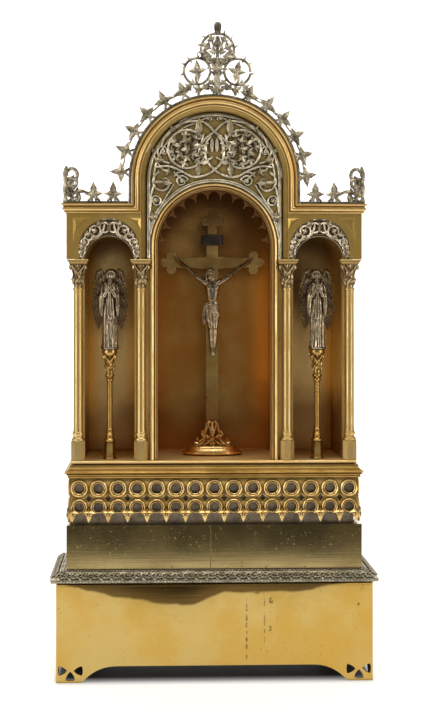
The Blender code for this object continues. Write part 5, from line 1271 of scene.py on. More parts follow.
# The sunk plate is painted darker than the rims, stems and leaves on it: painted shade.
shade_lows(crescent_bronze, (0.50, 0.40, 0.26))
for name, bay in (("left", -1), ("right", 1)):
    x = bay * BAY_X
    bm = bmesh.new()
    face = UPPER_FRONT + 0.0012
    rim_out, foot = BAY_OUTER - 0.0014, IMPOST_TOP + 0.0004
    rims = ((rim_out, BAY_OUTER_Z), (BAY_INNER + 0.0010, CRESCENT_Z))
    crescent = []
    for (radius, centre), way in zip(rims, (1, -1)):
        start = math.degrees(math.asin((foot - centre) / radius))
        crescent += arc(x, centre, radius, start, 180 - start, 48)[::way]
    add_plate(bm, [crescent], face + 0.0012, 0.0006, 0.0001)
    rim = (
        (-0.0010, 0.0020), (-0.0010, 0.0002), (-0.0003, -0.0008), (0.0004, -0.0008), (0.0010, 0.0002), (0.0010, 0.0020),
    )
    lip = ((0.0019, 0.0016), (0.0019, 0.0002), (0.0025, -0.0004), (0.0031, 0.0002), (0.0031, 0.0016))
    for radius, centre, section in (*((*circle, rim) for circle in rims), (BAY_INNER, LIP_Z, lip)):
        arched_run(bm, [(radius + u, face + v) for u, v in section], x, centre, foot, 56)

    def along(turn, share):
        """Point between the rims: degrees from the crown, and share of the way outwards."""
        t = math.radians(turn)
        rise = BAY_OUTER_Z - CRESCENT_Z
        inner_reach = BAY_INNER + 0.0030
        outer_reach = rise * math.cos(t) + math.sqrt(rim_out**2 - (rise * math.sin(t)) ** 2) - 0.0010
        reach = inner_reach + (outer_reach - inner_reach) * share
        return (x + reach * math.sin(t), CRESCENT_Z + reach * math.cos(t))

    runs = []
    for way in (-1, 1):
        stem = []
        for turn, share in ((86, 0.5), (74, 0.2), (62, 0.8), (50, 0.25), (38, 0.10), (26, 0.0), (14, 0.2), (6, 0.9)):
            px, pz = along(way * turn, share)
            stem.append((px, face + 0.0002, pz, 0.0014))
        runs.append(stem)
        for turn, radius in ((8, 0.0066), (25, 0.0072), (40, 0.0048), (52, 0.0048), (63, 0.0034), (72, 0.0034)):
            cx, cz = along(way * turn, 0.52)
            runs.append([(px, face - 0.0004, pz, 0.0013) for px, pz in arc(cx, cz, radius, 210, 570, 10)])
        for turn, share, size, aim in (
            (25, 0.50, 0.0072, 40), (39, 0.65, 0.0080, -20), (51, 0.50, 0.0068, 60), (62, 0.5, 0.0070, 0),
            (72, 0.5, 0.0056, -10), (15, 0.85, 0.0070, 10), (80, 0.5, 0.0048, 10), (30, 0.15, 0.0056, 80),
        ):
            px, pz = along(way * turn, share)
            place = at_point(px, face - 0.0010, pz, 90 - way * (turn + aim))
            add_leaf(bm, place, size, spiky, 0.26, 0.24, 0.34)
    add_strands(bm, runs, smooth=4)
    bud = at_point(x, face - 0.0008, 0.6190, 90)
    add_leaf(bm, bud, 0.0084, ((0, 1.0), (60, 0.6), (-60, 0.6), (180, 0.8)), 0.26, 0.3, 0.34)
    mark_proud(bm, face + 0.0012, 0.0014)
    finish_piece("crescent_" + name, bm, crescent_bronze, "silvered_bronze", "archivolt_" + name)

# ------------------------------------------------------------------ angels
# Two silvered bronze angels pray on the stands. Each is one casting: a long girt robe with a
# hanging fold, joined hands, full curled hair, and wings of short feathers over long ones.

FIGURE_SCALE = 1.065


def add_form(bm, place, radii, aim=None, roll=0.0, segments=16, rings=10):
    """A rounded form: its longest (Z) axis is aimed along a direction, then rolled about it."""
    matrix = Matrix.Translation(place)
    if aim:
        matrix = matrix @ Vector(aim).to_track_quat("Z", "Y").to_matrix().to_4x4()
    matrix = matrix @ Matrix.Rotation(math.radians(roll), 4, "Z") @ Matrix.Diagonal((*radii, 1.0))
    add_round(bm, matrix, segments, rings)


def on_side(side, joints, x=0.0, y=0.0):
    """Joints (x, y, z, radius) mirrored to one side and moved."""
    return [(side * jx + x, jy + y, z, radius) for jx, jy, z, radius in joints]


def add_limb(bm, joints):
    """A chain of tapered round forms through (x, y, z, radius) joints."""
    for (ax, ay, az, ar), (bx, by, bz, br) in zip(joints, joints[1:]):
        a, b = Vector((ax, ay, az)), Vector((bx, by, bz))
        turn = (b - a).to_track_quat("Z", "Y").to_matrix().to_4x4()
        bmesh.ops.create_cone(
            bm, cap_ends=True, segments=18, radius1=ar, radius2=br, depth=(b - a).length,
            matrix=Matrix.Translation((a + b) / 2) @ turn,
        )
        add_form(bm, a, (ar, ar, ar))
        add_form(bm, b, (br, br, br))


def add_drape(bm, levels, folds, twist, sides=72):
    """Lofted cloth: levels are (z, x, y, half width, half depth, fold depth) from the hem up."""
    rows = []
    between, sway = 5, 0.35
    for a, b in zip(levels, levels[1:]):
        steps = between if b is not levels[-1] else between + 1
        for i in range(steps):
            t = i / between
            z, cx, cy, rx, ry, deep = (p + (q - p) * t for p, q in zip(a, b))
            lean = twist * (z - levels[0][0])
            row = []
            for k in range(sides):
                turn = math.tau * k / sides
                crease = abs(math.cos(folds * turn / 2 + lean)) ** 0.7 - 0.6
                crease += sway * math.sin((folds - 3) * turn + 2.1 * lean + 0.7)
                wave = 1 + deep * crease
                row.append((cx + rx * wave * math.cos(turn), cy + ry * wave * math.sin(turn), z))
            rows.append(row)
    loft(bm, rows)


def add_wing(bm, side):
    """Folded wing: a rounded shoulder, three rows of short feathers and a fan of long ones."""
    for t in range(8):
        share = t / 7
        root = (side * (0.0085 + 0.0110 * share), 0.0066 + 0.0010 * share, 0.0800 - 0.0110 * share)
        tip_z = 0.0250 + 0.0030 * abs(t - 3) + 0.0200 * max(share - 0.7, 0)
        tip = Vector((side * (0.0105 + 0.0112 * share), 0.0060 + 0.0018 * share, tip_z))
        middle = (Vector(root) + tip) / 2
        add_form(bm, middle, (0.0017, 0.0010, (Vector(root) - tip).length / 2 + 0.002), Vector(root) - tip, 8 * side)
    for row, (count, length, height, depth) in enumerate((
        (8, 0.0120, 0.0660, 0.0044), (7, 0.0095, 0.0780, 0.0034), (6, 0.0075, 0.0880, 0.0026),
    )):
        for k in range(count):
            share = k / (count - 1)
            x = 0.0085 + (0.0135 - 0.0016 * row) * share
            z = height - 0.0050 * (share - 0.4) ** 2 * 4 + 0.003 * row * (1 - share)
            aim = (side * (0.30 - 0.45 * share), 0.06, 1.0)
            add_form(bm, (side * x, depth + 0.0012, z), (0.0017, 0.0011, length / 2 + 0.0015), aim, 0, 12, 8)
    add_limb(bm, on_side(side, (
        (0.0055, 0.0050, 0.0850, 0.0022), (0.0080, 0.0040, 0.0960, 0.0024), (0.0118, 0.0040, 0.1030, 0.0026),
        (0.0160, 0.0046, 0.1000, 0.0024), (0.0196, 0.0056, 0.0880, 0.0020), (0.0222, 0.0068, 0.0740, 0.0016),
    )))
    for t in range(6):
        share = t / 5
        place = (side * (0.0075 + 0.0120 * share), 0.0060, 0.0860 - 0.0030 * share)
        add_form(bm, place, (0.0030, 0.0016, 0.0130 - 0.0060 * share), (side * 0.1 * share, 0, 1), 0, 12, 8)


def add_angel(bm, turn):
    """The whole figure on a thin round base; turn leans the head to one side."""
    turned(bm, [(0, 0), (0.0112, 0), (0.0116, 0.0008), (0.0116, 0.0016), (0.0108, 0.0024), (0, 0.0026)], 0, 0, 40)
    add_drape(bm, (
        (0.0018, 0.0, 0.0, 0.0112, 0.0100, 0.10), (0.0070, 0.0, 0.0, 0.0098, 0.0088, 0.14),
        (0.0260, 0.0, -0.0002, 0.0090, 0.0078, 0.13), (0.0460, 0.0, -0.0004, 0.0088, 0.0072, 0.09),
        (0.0620, 0.0, 0.0, 0.0074, 0.0060, 0.06), (0.0660, 0.0, 0.0, 0.0072, 0.0058, 0.03),
        (0.0780, 0.0, 0.0, 0.0094, 0.0060, 0.02), (0.0840, 0.0, 0.0004, 0.0084, 0.0050, 0.0),
        (0.0890, 0.0, 0.0004, 0.0034, 0.0032, 0.0),
    ), 11, 30.0 * turn)
    for z in (0.0636, 0.0656):
        bmesh.ops.create_cone(bm, cap_ends=True, segments=32, radius1=0.0078, radius2=0.0078, depth=0.0012,
                              matrix=Matrix.Translation((0, 0, z)) @ Matrix.Diagonal((1.0, 0.84, 1.0, 1.0)))
    add_drape(bm, (
        (0.0400, turn * 0.0006, -0.0066, 0.0036, 0.0018, 0.20), (0.0480, 0.0, -0.0074, 0.0034, 0.0026, 0.22),
        (0.0640, 0.0, -0.0082, 0.0026, 0.0026, 0.16), (0.0760, 0.0, -0.0080, 0.0014, 0.0018, 0.08),
    ), 5, 0.0, 40)
    add_form(bm, (turn * 0.0004, -0.0078, 0.0420), (0.0034, 0.0022, 0.0030))
    for k in range(5):
        x = -0.0066 + 0.0033 * k
        add_limb(bm, [
            (x * 1.25, -0.0072 + abs(x) * 0.4, 0.0030, 0.0012),
            (x * 0.9 + turn * 0.002, -0.0080 + abs(x) * 0.4, 0.0200, 0.0013),
            (x * 0.5 + turn * 0.001, -0.0078, 0.0400, 0.0010),
        ])
    hx, hz = turn * 0.0014, 0.0962
    add_limb(bm, [(0, 0.0004, 0.0850, 0.0030), (hx * 0.5, -0.0006, 0.0920, 0.0026)])
    add_form(bm, (hx, -0.0010, hz), (0.0041, 0.0048, 0.0055), segments=24, rings=16)
    add_form(bm, (hx, -0.0056, hz - 0.0004), (0.0007, 0.0010, 0.0013))
    add_form(bm, (hx, -0.0050, hz - 0.0026), (0.0010, 0.0008, 0.0005))
    add_form(bm, (hx, -0.0044, hz - 0.0044), (0.0013, 0.0011, 0.0010))
    for side in (-1, 1):
        add_form(bm, (hx + side * 0.0018, -0.0051, hz + 0.0010), (0.0008, 0.0005, 0.0004))
        add_form(bm, (hx + side * 0.0018, -0.0050, hz + 0.0022), (0.0012, 0.0007, 0.0004))
    for radius, count, depth, size in (
        (0.0062, 11, -0.0010, 0.0024), (0.0050, 9, -0.0034, 0.0018), (0.0066, 10, 0.0024, 0.0026),
    ):
        for k in range(count):
            t = math.pi * (-0.30 + 1.60 * k / (count - 1))
            place = (hx + radius * math.cos(t), depth, hz + 0.0012 + radius * 0.92 * math.sin(t))
            add_form(bm, place, (size, size * 1.1, size * 0.86), (math.cos(t), 0.3, math.sin(t)), 0, 12, 8)
    add_form(bm, (hx, 0.0020, hz + 0.0012), (0.0064, 0.0050, 0.0062))
    for side in (-1, 1):
        for limb in (
            ((0.0080, 0.0, 0.0826, 0.0034), (0.0114, -0.0028, 0.0690, 0.0034), (0.0070, -0.0072, 0.0700, 0.0030),
             (0.0022, -0.0092, 0.0780, 0.0020)),
            ((0.0012, -0.0098, 0.0790, 0.0014), (0.0007, -0.0104, 0.0840, 0.0011), (0.0005, -0.0104, 0.0876, 0.0006)),
            ((0.0060, -0.0040, 0.0860, 0.0014), (0.0030, -0.0070, 0.0810, 0.0012)),
        ):
            add_limb(bm, on_side(side, limb))
        add_drape(bm, [(z, side * x, *sizes) for z, x, *sizes in (
            (0.0430, 0.0104, -0.0034, 0.0016, 0.0022, 0.25), (0.0540, 0.0108, -0.0042, 0.0028, 0.0034, 0.24),
            (0.0680, 0.0100, -0.0044, 0.0038, 0.0042, 0.10), (0.0740, 0.0098, -0.0040, 0.0030, 0.0030, 0.0),
        )], 7, 20.0 * side, 36)
        add_wing(bm, side)


def cast_figure(name, bm, voxel, share, place, finish, slot, solid):
    """Fuses the overlapping forms of a figure into one casting and sets it in its place."""
    bmesh.ops.recalc_face_normals(bm, faces=bm.faces)
    bmesh.ops.transform(bm, matrix=place, verts=bm.verts)
    model = add_object(name + "_model", mesh_of(name, bm))
    fuse = model.modifiers.new("fuse", "REMESH")
    fuse.mode = "VOXEL"
    fuse.voxel_size = voxel
    even = model.modifiers.new("even", "SMOOTH")
    even.factor, even.iterations = 0.5, 2
    fewer = model.modifiers.new("fewer", "DECIMATE")
    fewer.ratio = share
    cast = bmesh.new()
    cast.from_object(model, bpy.context.evaluated_depsgraph_get())
    bpy.data.objects.remove(model)
    depths = [vert.co.y for vert in cast.verts]
    front, reach = min(depths), max(depths) - min(depths)
    # The rear of the casting counts as low, so it is painted darker: painted shade.
    mark_proud(cast, front + 0.75 * reach, 0.6 * reach)
    return finish_piece(name, cast, finish, slot, solid, sharp=60)


figure_bronze = metal_finish(
    "figure_bronze", (0.45, 0.365, 0.255), (0.27, 0.215, 0.14), (0.022, 0.016, 0.009), 0.20,
    cloud=90.0, speck=0.15, reach=0.0026, dirt_and_painted_light=1.0, speck_scale=320.0,
)
# The figures are painted darker towards their backs: painted shade.
shade_lows(figure_bronze, (0.60, 0.55, 0.52))
for name, side in (("left", -1), ("right", 1)):
    bm = bmesh.new()
    add_angel(bm, -side)
    stand = Matrix.Translation((side * BAY_X, pedestal_y, pedestal_top + 0.0005)) @ Matrix.Scale(FIGURE_SCALE, 4)
    cast_figure("praying_angel_" + name, bm, 0.00042, 0.4, stand, figure_bronze, "silvered_bronze", "angel_" + name)

# ------------------------------------------------------------------ crucifix
# The altar cross is cut from flat brass with trefoil ends and a fine chamfered edge. It
# stands in an openwork foot of scrolls on a stepped oval base, and carries a silvered figure.

CROSS_Y, CROSS_DEPTH = 0.0150, 0.0030
cross_face = CROSS_Y - CROSS_DEPTH / 2
cross_brass = metal_finish(
    "cross_brass", (0.42, 0.285, 0.095), (0.33, 0.20, 0.06), (0.08, 0.035, 0.012), 0.26,
    cloud=30.0, speck=0.3, reach=0.003, dirt_and_painted_light=0.8,
)
foot_brass = metal_finish(
    "foot_brass", (0.90, 0.62, 0.28), (0.64, 0.38, 0.14), (0.10, 0.035, 0.01), 0.22,
    cloud=60.0, speck=0.2, reach=0.004, dirt_and_painted_light=1.0,
)


def trefoil_end(tip_x, tip_z, way):
    """Outline points of a trefoil round an arm's end, anticlockwise, for an arm that points way."""
    half, lobe = 0.0086, 0.0066
    points = []
    for along, aside, start, end in (
        (-0.0155, -0.0100, 150, 395), (-lobe, 0.0, -76, 76), (-0.0155, 0.0100, -35, 210),
    ):
        for px, pz in arc(along, aside, lobe, start, end, 14):
            turn = math.radians(way)
            across, up = math.cos(turn), math.sin(turn)
            points.append((tip_x + px * across - pz * up, tip_z + px * up + pz * across))
    return points


bm = bmesh.new()
half, top, foot_z, arm_z, reach = 0.0086, 0.6480, 0.3480, 0.5735, 0.0745
outline = [(-half, foot_z), (half, foot_z), (half, arm_z - half)]
outline += trefoil_end(reach, arm_z, 0)
outline += [(half, arm_z + half)] + trefoil_end(0, top, 90) + [(-half, arm_z + half)]
outline += trefoil_end(-reach, arm_z, 180) + [(-half, arm_z - half)]
add_plate(bm, [outline], cross_face, CROSS_DEPTH, 0.0005)
# The cross takes the same painted shade, darker at its top and towards its foot.
paint_light_inside(cross_brass, 0.05, 0.0)
finish_piece("altar_cross", bm, cross_brass, "cast_brass", "cross", sharp=20)

dark_plate = metal_finish(
    "dark_plate", (0.10, 0.085, 0.075), (0.06, 0.05, 0.045), (0.02, 0.016, 0.012), 0.42,
    cloud=60.0, speck=0.4, dirt_and_painted_light=0.6,
)
bm = bmesh.new()
y, low, high, wide = cross_face - GAP, 0.5985, 0.6130, 0.0155
half_line = [(u - wide, y - v) for u, v in (
    (0, 0.0026), (0.0006, 0.0038), (0.0020, 0.0040), (0.0030, 0.0028), (0.0044, 0.0020),
)]
front_line = half_line + [(-x, depth) for x, depth in half_line[::-1]]
behind = [(x, min(depth + 0.0014, y)) for x, depth in front_line[::-1]]
loft(bm, [[(x, depth, z) for x, depth in front_line + behind] for z in (low, high)])
for row in range(2):
    for k in range(9):
        x = -0.0100 + 0.0025 * k
        z = low + 0.0046 + 0.0052 * row
        tall = 0.0014 if (k + row) % 3 else 0.0010
        lean = 0.0004 if k % 2 else -0.0004
        stroke = [(x - 0.0004, y - 0.0021, z - tall, 0.0003), (x + lean, y - 0.0021, z + tall, 0.0003)]
        add_strands(bm, [stroke], smooth=1)
finish_piece("title_scroll", bm, dark_plate, "dark_patina", "title_plaque", sharp=20)

# The figure: arms raised to the beam, head bowed to the left shoulder, a knotted loincloth,
# and both feet on one nail. Its back is filed flat where it lies on the cross.

bm = bmesh.new()
y = cross_face - 0.0070
add_drape(bm, [(z, x, y + dy, *sizes, 0.0) for z, x, dy, *sizes in (
    (0.5020, 0.0002, 0, 0.0080, 0.0056), (0.5130, 0.0002, -0.0002, 0.0070, 0.0050),
    (0.5190, 0.0, -0.0004, 0.0070, 0.0050), (0.5280, 0.0, -0.0008, 0.0088, 0.0060),
    (0.5370, 0.0, -0.0008, 0.0104, 0.0062), (0.5440, 0.0, 0, 0.0098, 0.0048), (0.5490, 0.0, 0, 0.0040, 0.0034),
)], 4, 0.0, 40)
for side in (-1, 1):
    add_form(bm, (side * 0.0046, y - 0.0048, 0.5380), (0.0046, 0.0022, 0.0036))
    for k in range(3):
        place = (side * (0.0052 - 0.0006 * k), y - 0.0046 + 0.0004 * k, 0.5322 - 0.0032 * k)
        add_form(bm, place, (0.0034, 0.0016, 0.0010))
    for k in range(3):
        add_form(bm, (side * 0.0018, y - 0.0048, 0.5240 - 0.0036 * k), (0.0017, 0.0012, 0.0015))
add_limb(bm, [(0, y, 0.5460, 0.0036), (-0.0016, y - 0.0022, 0.5530, 0.0032)])
add_form(bm, (-0.0030, y - 0.0040, 0.5586), (0.0044, 0.0052, 0.0058), (0.14, 0.34, 1.0), 0, 24, 16)
add_form(bm, (-0.0036, y - 0.0088, 0.5566), (0.0008, 0.0012, 0.0015), (0.1, 0.4, 1.0))
add_form(bm, (-0.0040, y - 0.0072, 0.5522), (0.0024, 0.0022, 0.0032), (0.1, 0.4, 1.0))
for side in (-1, 1):
    add_form(bm, (-0.0034 + side * 0.0018, y - 0.0082, 0.5582), (0.0009, 0.0006, 0.0005))
    add_form(bm, (-0.0032 + side * 0.0019, y - 0.0078, 0.5596), (0.0014, 0.0010, 0.0005))
    add_limb(bm, [(x + side * out, y + dy, z, radius) for x, out, dy, z, radius in (
        (-0.0030, 0.0042, -0.0044, 0.5620, 0.0018), (-0.0034, 0.0050, -0.0042, 0.5570, 0.0018),
        (-0.0034, 0.0052, -0.0034, 0.5510, 0.0016), (-0.0030, 0.0056, -0.0022, 0.5470, 0.0009),
    )])
add_form(bm, (-0.0026, y - 0.0018, 0.5606), (0.0052, 0.0056, 0.0056))
for k in range(16):
    t = math.tau * k / 16
    place = (-0.0029 + 0.0052 * math.cos(t), y - 0.0034 + 0.0054 * math.sin(t), 0.5620 + 0.0010 * math.sin(3 * t))
    add_form(bm, place, (0.0009, 0.0009, 0.0019), (math.sin(2 * t), math.cos(t), 0.8), 0, 8, 6)
for side, hand_x, hand_z in ((-1, -0.0508, 0.5770), (1, 0.0540, 0.5755)):
    elbow_x = hand_x * 0.56
    add_form(bm, (side * 0.0094, y, 0.5448), (0.0044, 0.0042, 0.0044))
    add_limb(bm, [(x, y + dy, z, radius) for x, dy, z, radius in (
        (side * 0.0094, 0, 0.5440, 0.0040), (elbow_x * 0.75, -0.0002, 0.5526, 0.0037),
        (elbow_x, 0.0008, 0.5590, 0.0029), (hand_x * 0.72, 0.0020, 0.5660, 0.0031),
        (hand_x * 0.93, 0.0044, hand_z - 0.0026, 0.0020), (hand_x * 0.98, 0.0050, hand_z, 0.0024),
    )])
    for finger in range(4):
        spread = math.radians(50 + 26 * finger)
        tip_x = hand_x + side * 0.0044 * math.cos(spread) + side * 0.0010
        tip_z = hand_z + 0.0052 * math.sin(spread)
        add_limb(bm, [(hand_x, y + 0.0050, hand_z, 0.0012), (tip_x, y + 0.0040, tip_z, 0.0007)])
    add_form(bm, (hand_x, y + 0.0024, hand_z + 0.0004), (0.0010, 0.0012, 0.0010))
    knee = (side * 0.0031 + 0.0008, y - 0.0044, 0.4790)
    ankle = (side * 0.0019 + 0.0010, y + 0.0010, 0.4525)
    add_limb(bm, [(side * 0.0044, y, 0.5060, 0.0058), (side * 0.0040 + 0.0004, y - 0.0022, 0.4910, 0.0050),
                  (*knee, 0.0039), (side * 0.0028 + 0.0010, y - 0.0022, 0.4690, 0.0037), (*ankle, 0.0023)])
    add_form(bm, (knee[0], knee[1] - 0.0028, knee[2]), (0.0024, 0.0018, 0.0026))
    toes = ((0.0016, -0.0026, 0.4446, 0.0022), (0.0015, -0.0040, 0.4416, 0.0014))
    add_limb(bm, [(*ankle, 0.0024)] + on_side(side, toes, 0.0010, y))
add_drape(bm, (
    (0.4900, -0.0006, y - 0.0008, 0.0090, 0.0070, 0.14), (0.4980, 0.0, y - 0.0004, 0.0102, 0.0074, 0.16),
    (0.5100, 0.0, y - 0.0002, 0.0094, 0.0066, 0.12), (0.5180, 0.0, y, 0.0088, 0.0062, 0.05),
), 13, 60.0)
for k in range(4):
    add_limb(bm, [
        (-0.0094, y - 0.0020, 0.5150 - 0.0030 * k, 0.0012), (0.0, y - 0.0070, 0.5130 - 0.0036 * k, 0.0013),
        (0.0090, y - 0.0030, 0.5120 - 0.0050 * k, 0.0011),
    ])
add_drape(bm, (
    (0.4850, -0.0116, y - 0.0010, 0.0020, 0.0020, 0.25), (0.5000, -0.0116, y - 0.0010, 0.0034, 0.0026, 0.25),
    (0.5150, -0.0092, y - 0.0010, 0.0030, 0.0026, 0.1),
), 5, 0.0, 30)
upright = Matrix.Identity(4)
figure = cast_figure("crucified_figure", bm, 0.00036, 0.5, upright, figure_bronze, "silvered_bronze", "corpus")
bm = bmesh.new()
bm.from_mesh(figure.data)
trim(bm, (0, cross_face - GAP, 0), (0, 1, 0))
bm.to_mesh(figure.data)
bm.free()

bm = bmesh.new()
rows = []
for up, wide, deep in (
    (0.0004, 0.0400, 0.0230), (0.0014, 0.0416, 0.0244), (0.0030, 0.0424, 0.0250), (0.0046, 0.0424, 0.0250),
    (0.0056, 0.0416, 0.0244), (0.0060, 0.0396, 0.0228), (0.0070, 0.0392, 0.0225), (0.0082, 0.0372, 0.0212),
    (0.0104, 0.0352, 0.0198), (0.0120, 0.0344, 0.0193), (0.0128, 0.0330, 0.0184),
):
    turns = [math.tau * k / 72 for k in range(72)]
    rows.append([(wide * math.cos(t), CROSS_Y + deep * math.sin(t), FLOOR + up) for t in turns])
loft(bm, rows)
base_top = FLOOR + 0.0126
sprig = ((0, 1.0), (60, 0.6), (-60, 0.6), (180, 0.5))
scrolls = (
    ((0.0250, 1.4, 0.0010, 0.0018), (0.0170, 1.2, 0.0044, 0.0022), (0.0110, 1, 0.0130, 0.0020),
     (0.0146, 1, 0.0176, 0.0016), (0.0100, 0.9, 0.0210, 0.0018), (0.0076, 0.8, 0.0300, 0.0018),
     (0.0052, 0.7, 0.0352, 0.0016)),
    ((0.0, 1.1, 0.0150, 0.0015), (0.0030, 1, 0.0230, 0.0014), (0.0056, 0.9, 0.0310, 0.0013),
     (0.0050, 0.8, 0.0350, 0.0018), (0.0020, 0.8, 0.0345, 0.0012)),
    ((0.0150, 1.1, 0.0006, 0.0014), (0.0060, 1.1, 0.0060, 0.0013), (0.0, 1.1, 0.0124, 0.0013)),
    ((0.0146, 1, 0.0172, 0.0013), (0.0070, 1.1, 0.0136, 0.0013), (0.0020, 1.1, 0.0040, 0.0014)),
)
for side in (-1, 1):
    for face in (-1, 1):
        depth = 0.0088 * face
        runs = [
            [(side * x, CROSS_Y + depth * out, base_top + z, radius) for x, out, z, radius in scroll]
            for scroll in scrolls
        ]
        add_strands(bm, runs, smooth=5, round_steps=2)
        add_ball(bm, (side * 0.0046, CROSS_Y + depth * 0.8, base_top + 0.0344), (0.0022, 0.0022, 0.0022), 16, 10)
        about = turned_at(0, CROSS_Y, 0, 0 if face < 0 else math.pi)
        for px, pz, size, aim in ((0.0062, 0.0120, 0.0080, 60), (0.0200, 0.0030, 0.0066, 30)):
            place = about @ at_point(side * px, -0.0104, base_top + pz, aim if side > 0 else 180 - aim)
            add_leaf(bm, place, size, sprig, 0.26, 0.24, 0.32)
    end = turned_at(0, CROSS_Y, 0, side * math.pi / 2)
    add_leaf(bm, end @ at_point(0, -0.0210, base_top + 0.0046, 90, -30), 0.0080, sprig, 0.26, 0.24, 0.32)
for turn in (0, math.pi):
    palm = turned_at(0, CROSS_Y, 0, turn) @ at_point(0, -0.0106, base_top + 0.0056, 90, -8)
    lobes = ((0, 1.0), (38, 0.85), (-38, 0.85), (76, 0.66), (-76, 0.66), (180, 0.5))
    add_leaf(bm, palm, 0.0100, lobes, 0.16, 0.24, 0.36)
core = [(radius, base_top + rise) for radius, rise in (
    (0, -0.001), (0.0060, -0.001), (0.0040, 0.008), (0.0036, 0.030), (0.0060, 0.0350), (0, 0.0354),
)]
turned(bm, core, 0.0, CROSS_Y, 20)
cap = [(-0.0078, 0.0054), (0.0078, 0.0054), (0.0078, -0.0054), (-0.0078, -0.0054)]
loft(bm, [[(px, CROSS_Y + py, z) for px, py in cap] for z in (base_top + 0.0330, 0.3474)])
finish_piece("scrolled_foot", bm, foot_brass, "cast_brass", "crucifix_foot")

# ------------------------------------------------------------------ cresting
# Silvered castings crown the cabinet: a strip with star-shaped ivy leaves on short crossed
# stems runs over the arch and the bays, and a knot of scrolls stands at each corner.

strip_inner, strip_outer, strip_depth = 0.1141, 0.1183, 0.0030
cresting_front = UPPER_FRONT + 0.0004
crest_silver = metal_finish(
    "crest_silver", (0.41, 0.36, 0.26), (0.12, 0.10, 0.065), (0.03, 0.022, 0.012), 0.30,
    cloud=80.0, speck=0.5, reach=0.0030, dirt_and_painted_light=1.0, speck_scale=320.0, wave=340.0, wave_depth=0.0007,
)
star = ((0, 1.0), (88, 0.84), (-88, 0.98), (180, 0.60))


def crest_run(points, side=1, x=0.0, z=0.0, swell=1.0):
    """Strand points (x, z, radius) in the plane of the cresting, moved and mirrored to one side."""
    depth = cresting_front + strip_depth / 2
    return [(side * (x + px), depth, z + pz, radius * swell) for px, pz, radius in points]


CROWN_TOP = 0.6520
bm = bmesh.new()
section = [(radius, cresting_front + depth) for radius, depth in (
    (strip_inner, 0), (strip_outer - 0.0010, 0), (strip_outer, 0.0006), (strip_outer, strip_depth - 0.0006),
    (strip_outer - 0.0010, strip_depth), (strip_inner, strip_depth),
)]
arched_run(bm, section, 0.0, ARCH_Z, CROWN_TOP + 0.0006, 96)
for side in (-1, 1):
    leaf_radius = 0.1272 - side * 0.0014
    leaf_angles = [3.8 - side * 1.2 + 13.1 * k for k in range(6)]
    for k, degrees in enumerate(leaf_angles):
        angle = degrees if side > 0 else 180 - degrees
        t = math.radians(angle)
        out = Vector((math.cos(t), math.sin(t)))
        across = Vector((-out.y, out.x))
        middle = Vector((0, ARCH_Z))
        centre = middle + out * leaf_radius
        turn = degrees + 7 * math.sin(2.3 * k + side)
        place = at_point(side * centre.x, cresting_front + 0.0010, centre.y) @ at_point(0, 0, 0, turn)
        add_leaf(bm, Matrix.Scale(side, 4, (1, 0, 0)) @ place, 0.0160, star, 0.26, 0.12, 0.37, 0.0018)
        runs = []
        for way in (-1, 1):
            root = middle + out * (strip_outer - 0.0006) + across * way * 0.0050
            bend = middle + out * (strip_outer + 0.0034) + across * way * 0.0022
            runs.append(crest_run([(*root, 0.0017), (*bend, 0.0016), (*centre, 0.0015)]))
        if k:
            previous = math.radians(leaf_angles[k - 1] if side > 0 else 180 - leaf_angles[k - 1])
            between = (t + previous) / 2
            start = middle + Vector((math.cos(previous), math.sin(previous))) * leaf_radius
            sag = middle + Vector((math.cos(between), math.sin(between))) * (leaf_radius - 0.0022)
            runs.append(crest_run([(*start, 0.0013), (*sag, 0.0011), (*centre, 0.0013)]))
        add_strands(bm, runs, smooth=4, round_steps=2)
        add_ball(bm, (centre.x, cresting_front - 0.0012, centre.y), (0.0016, 0.0012, 0.0016), 10, 6)
finish_piece("arch_cresting", bm, crest_silver, "silvered_bronze", "cresting_arch")

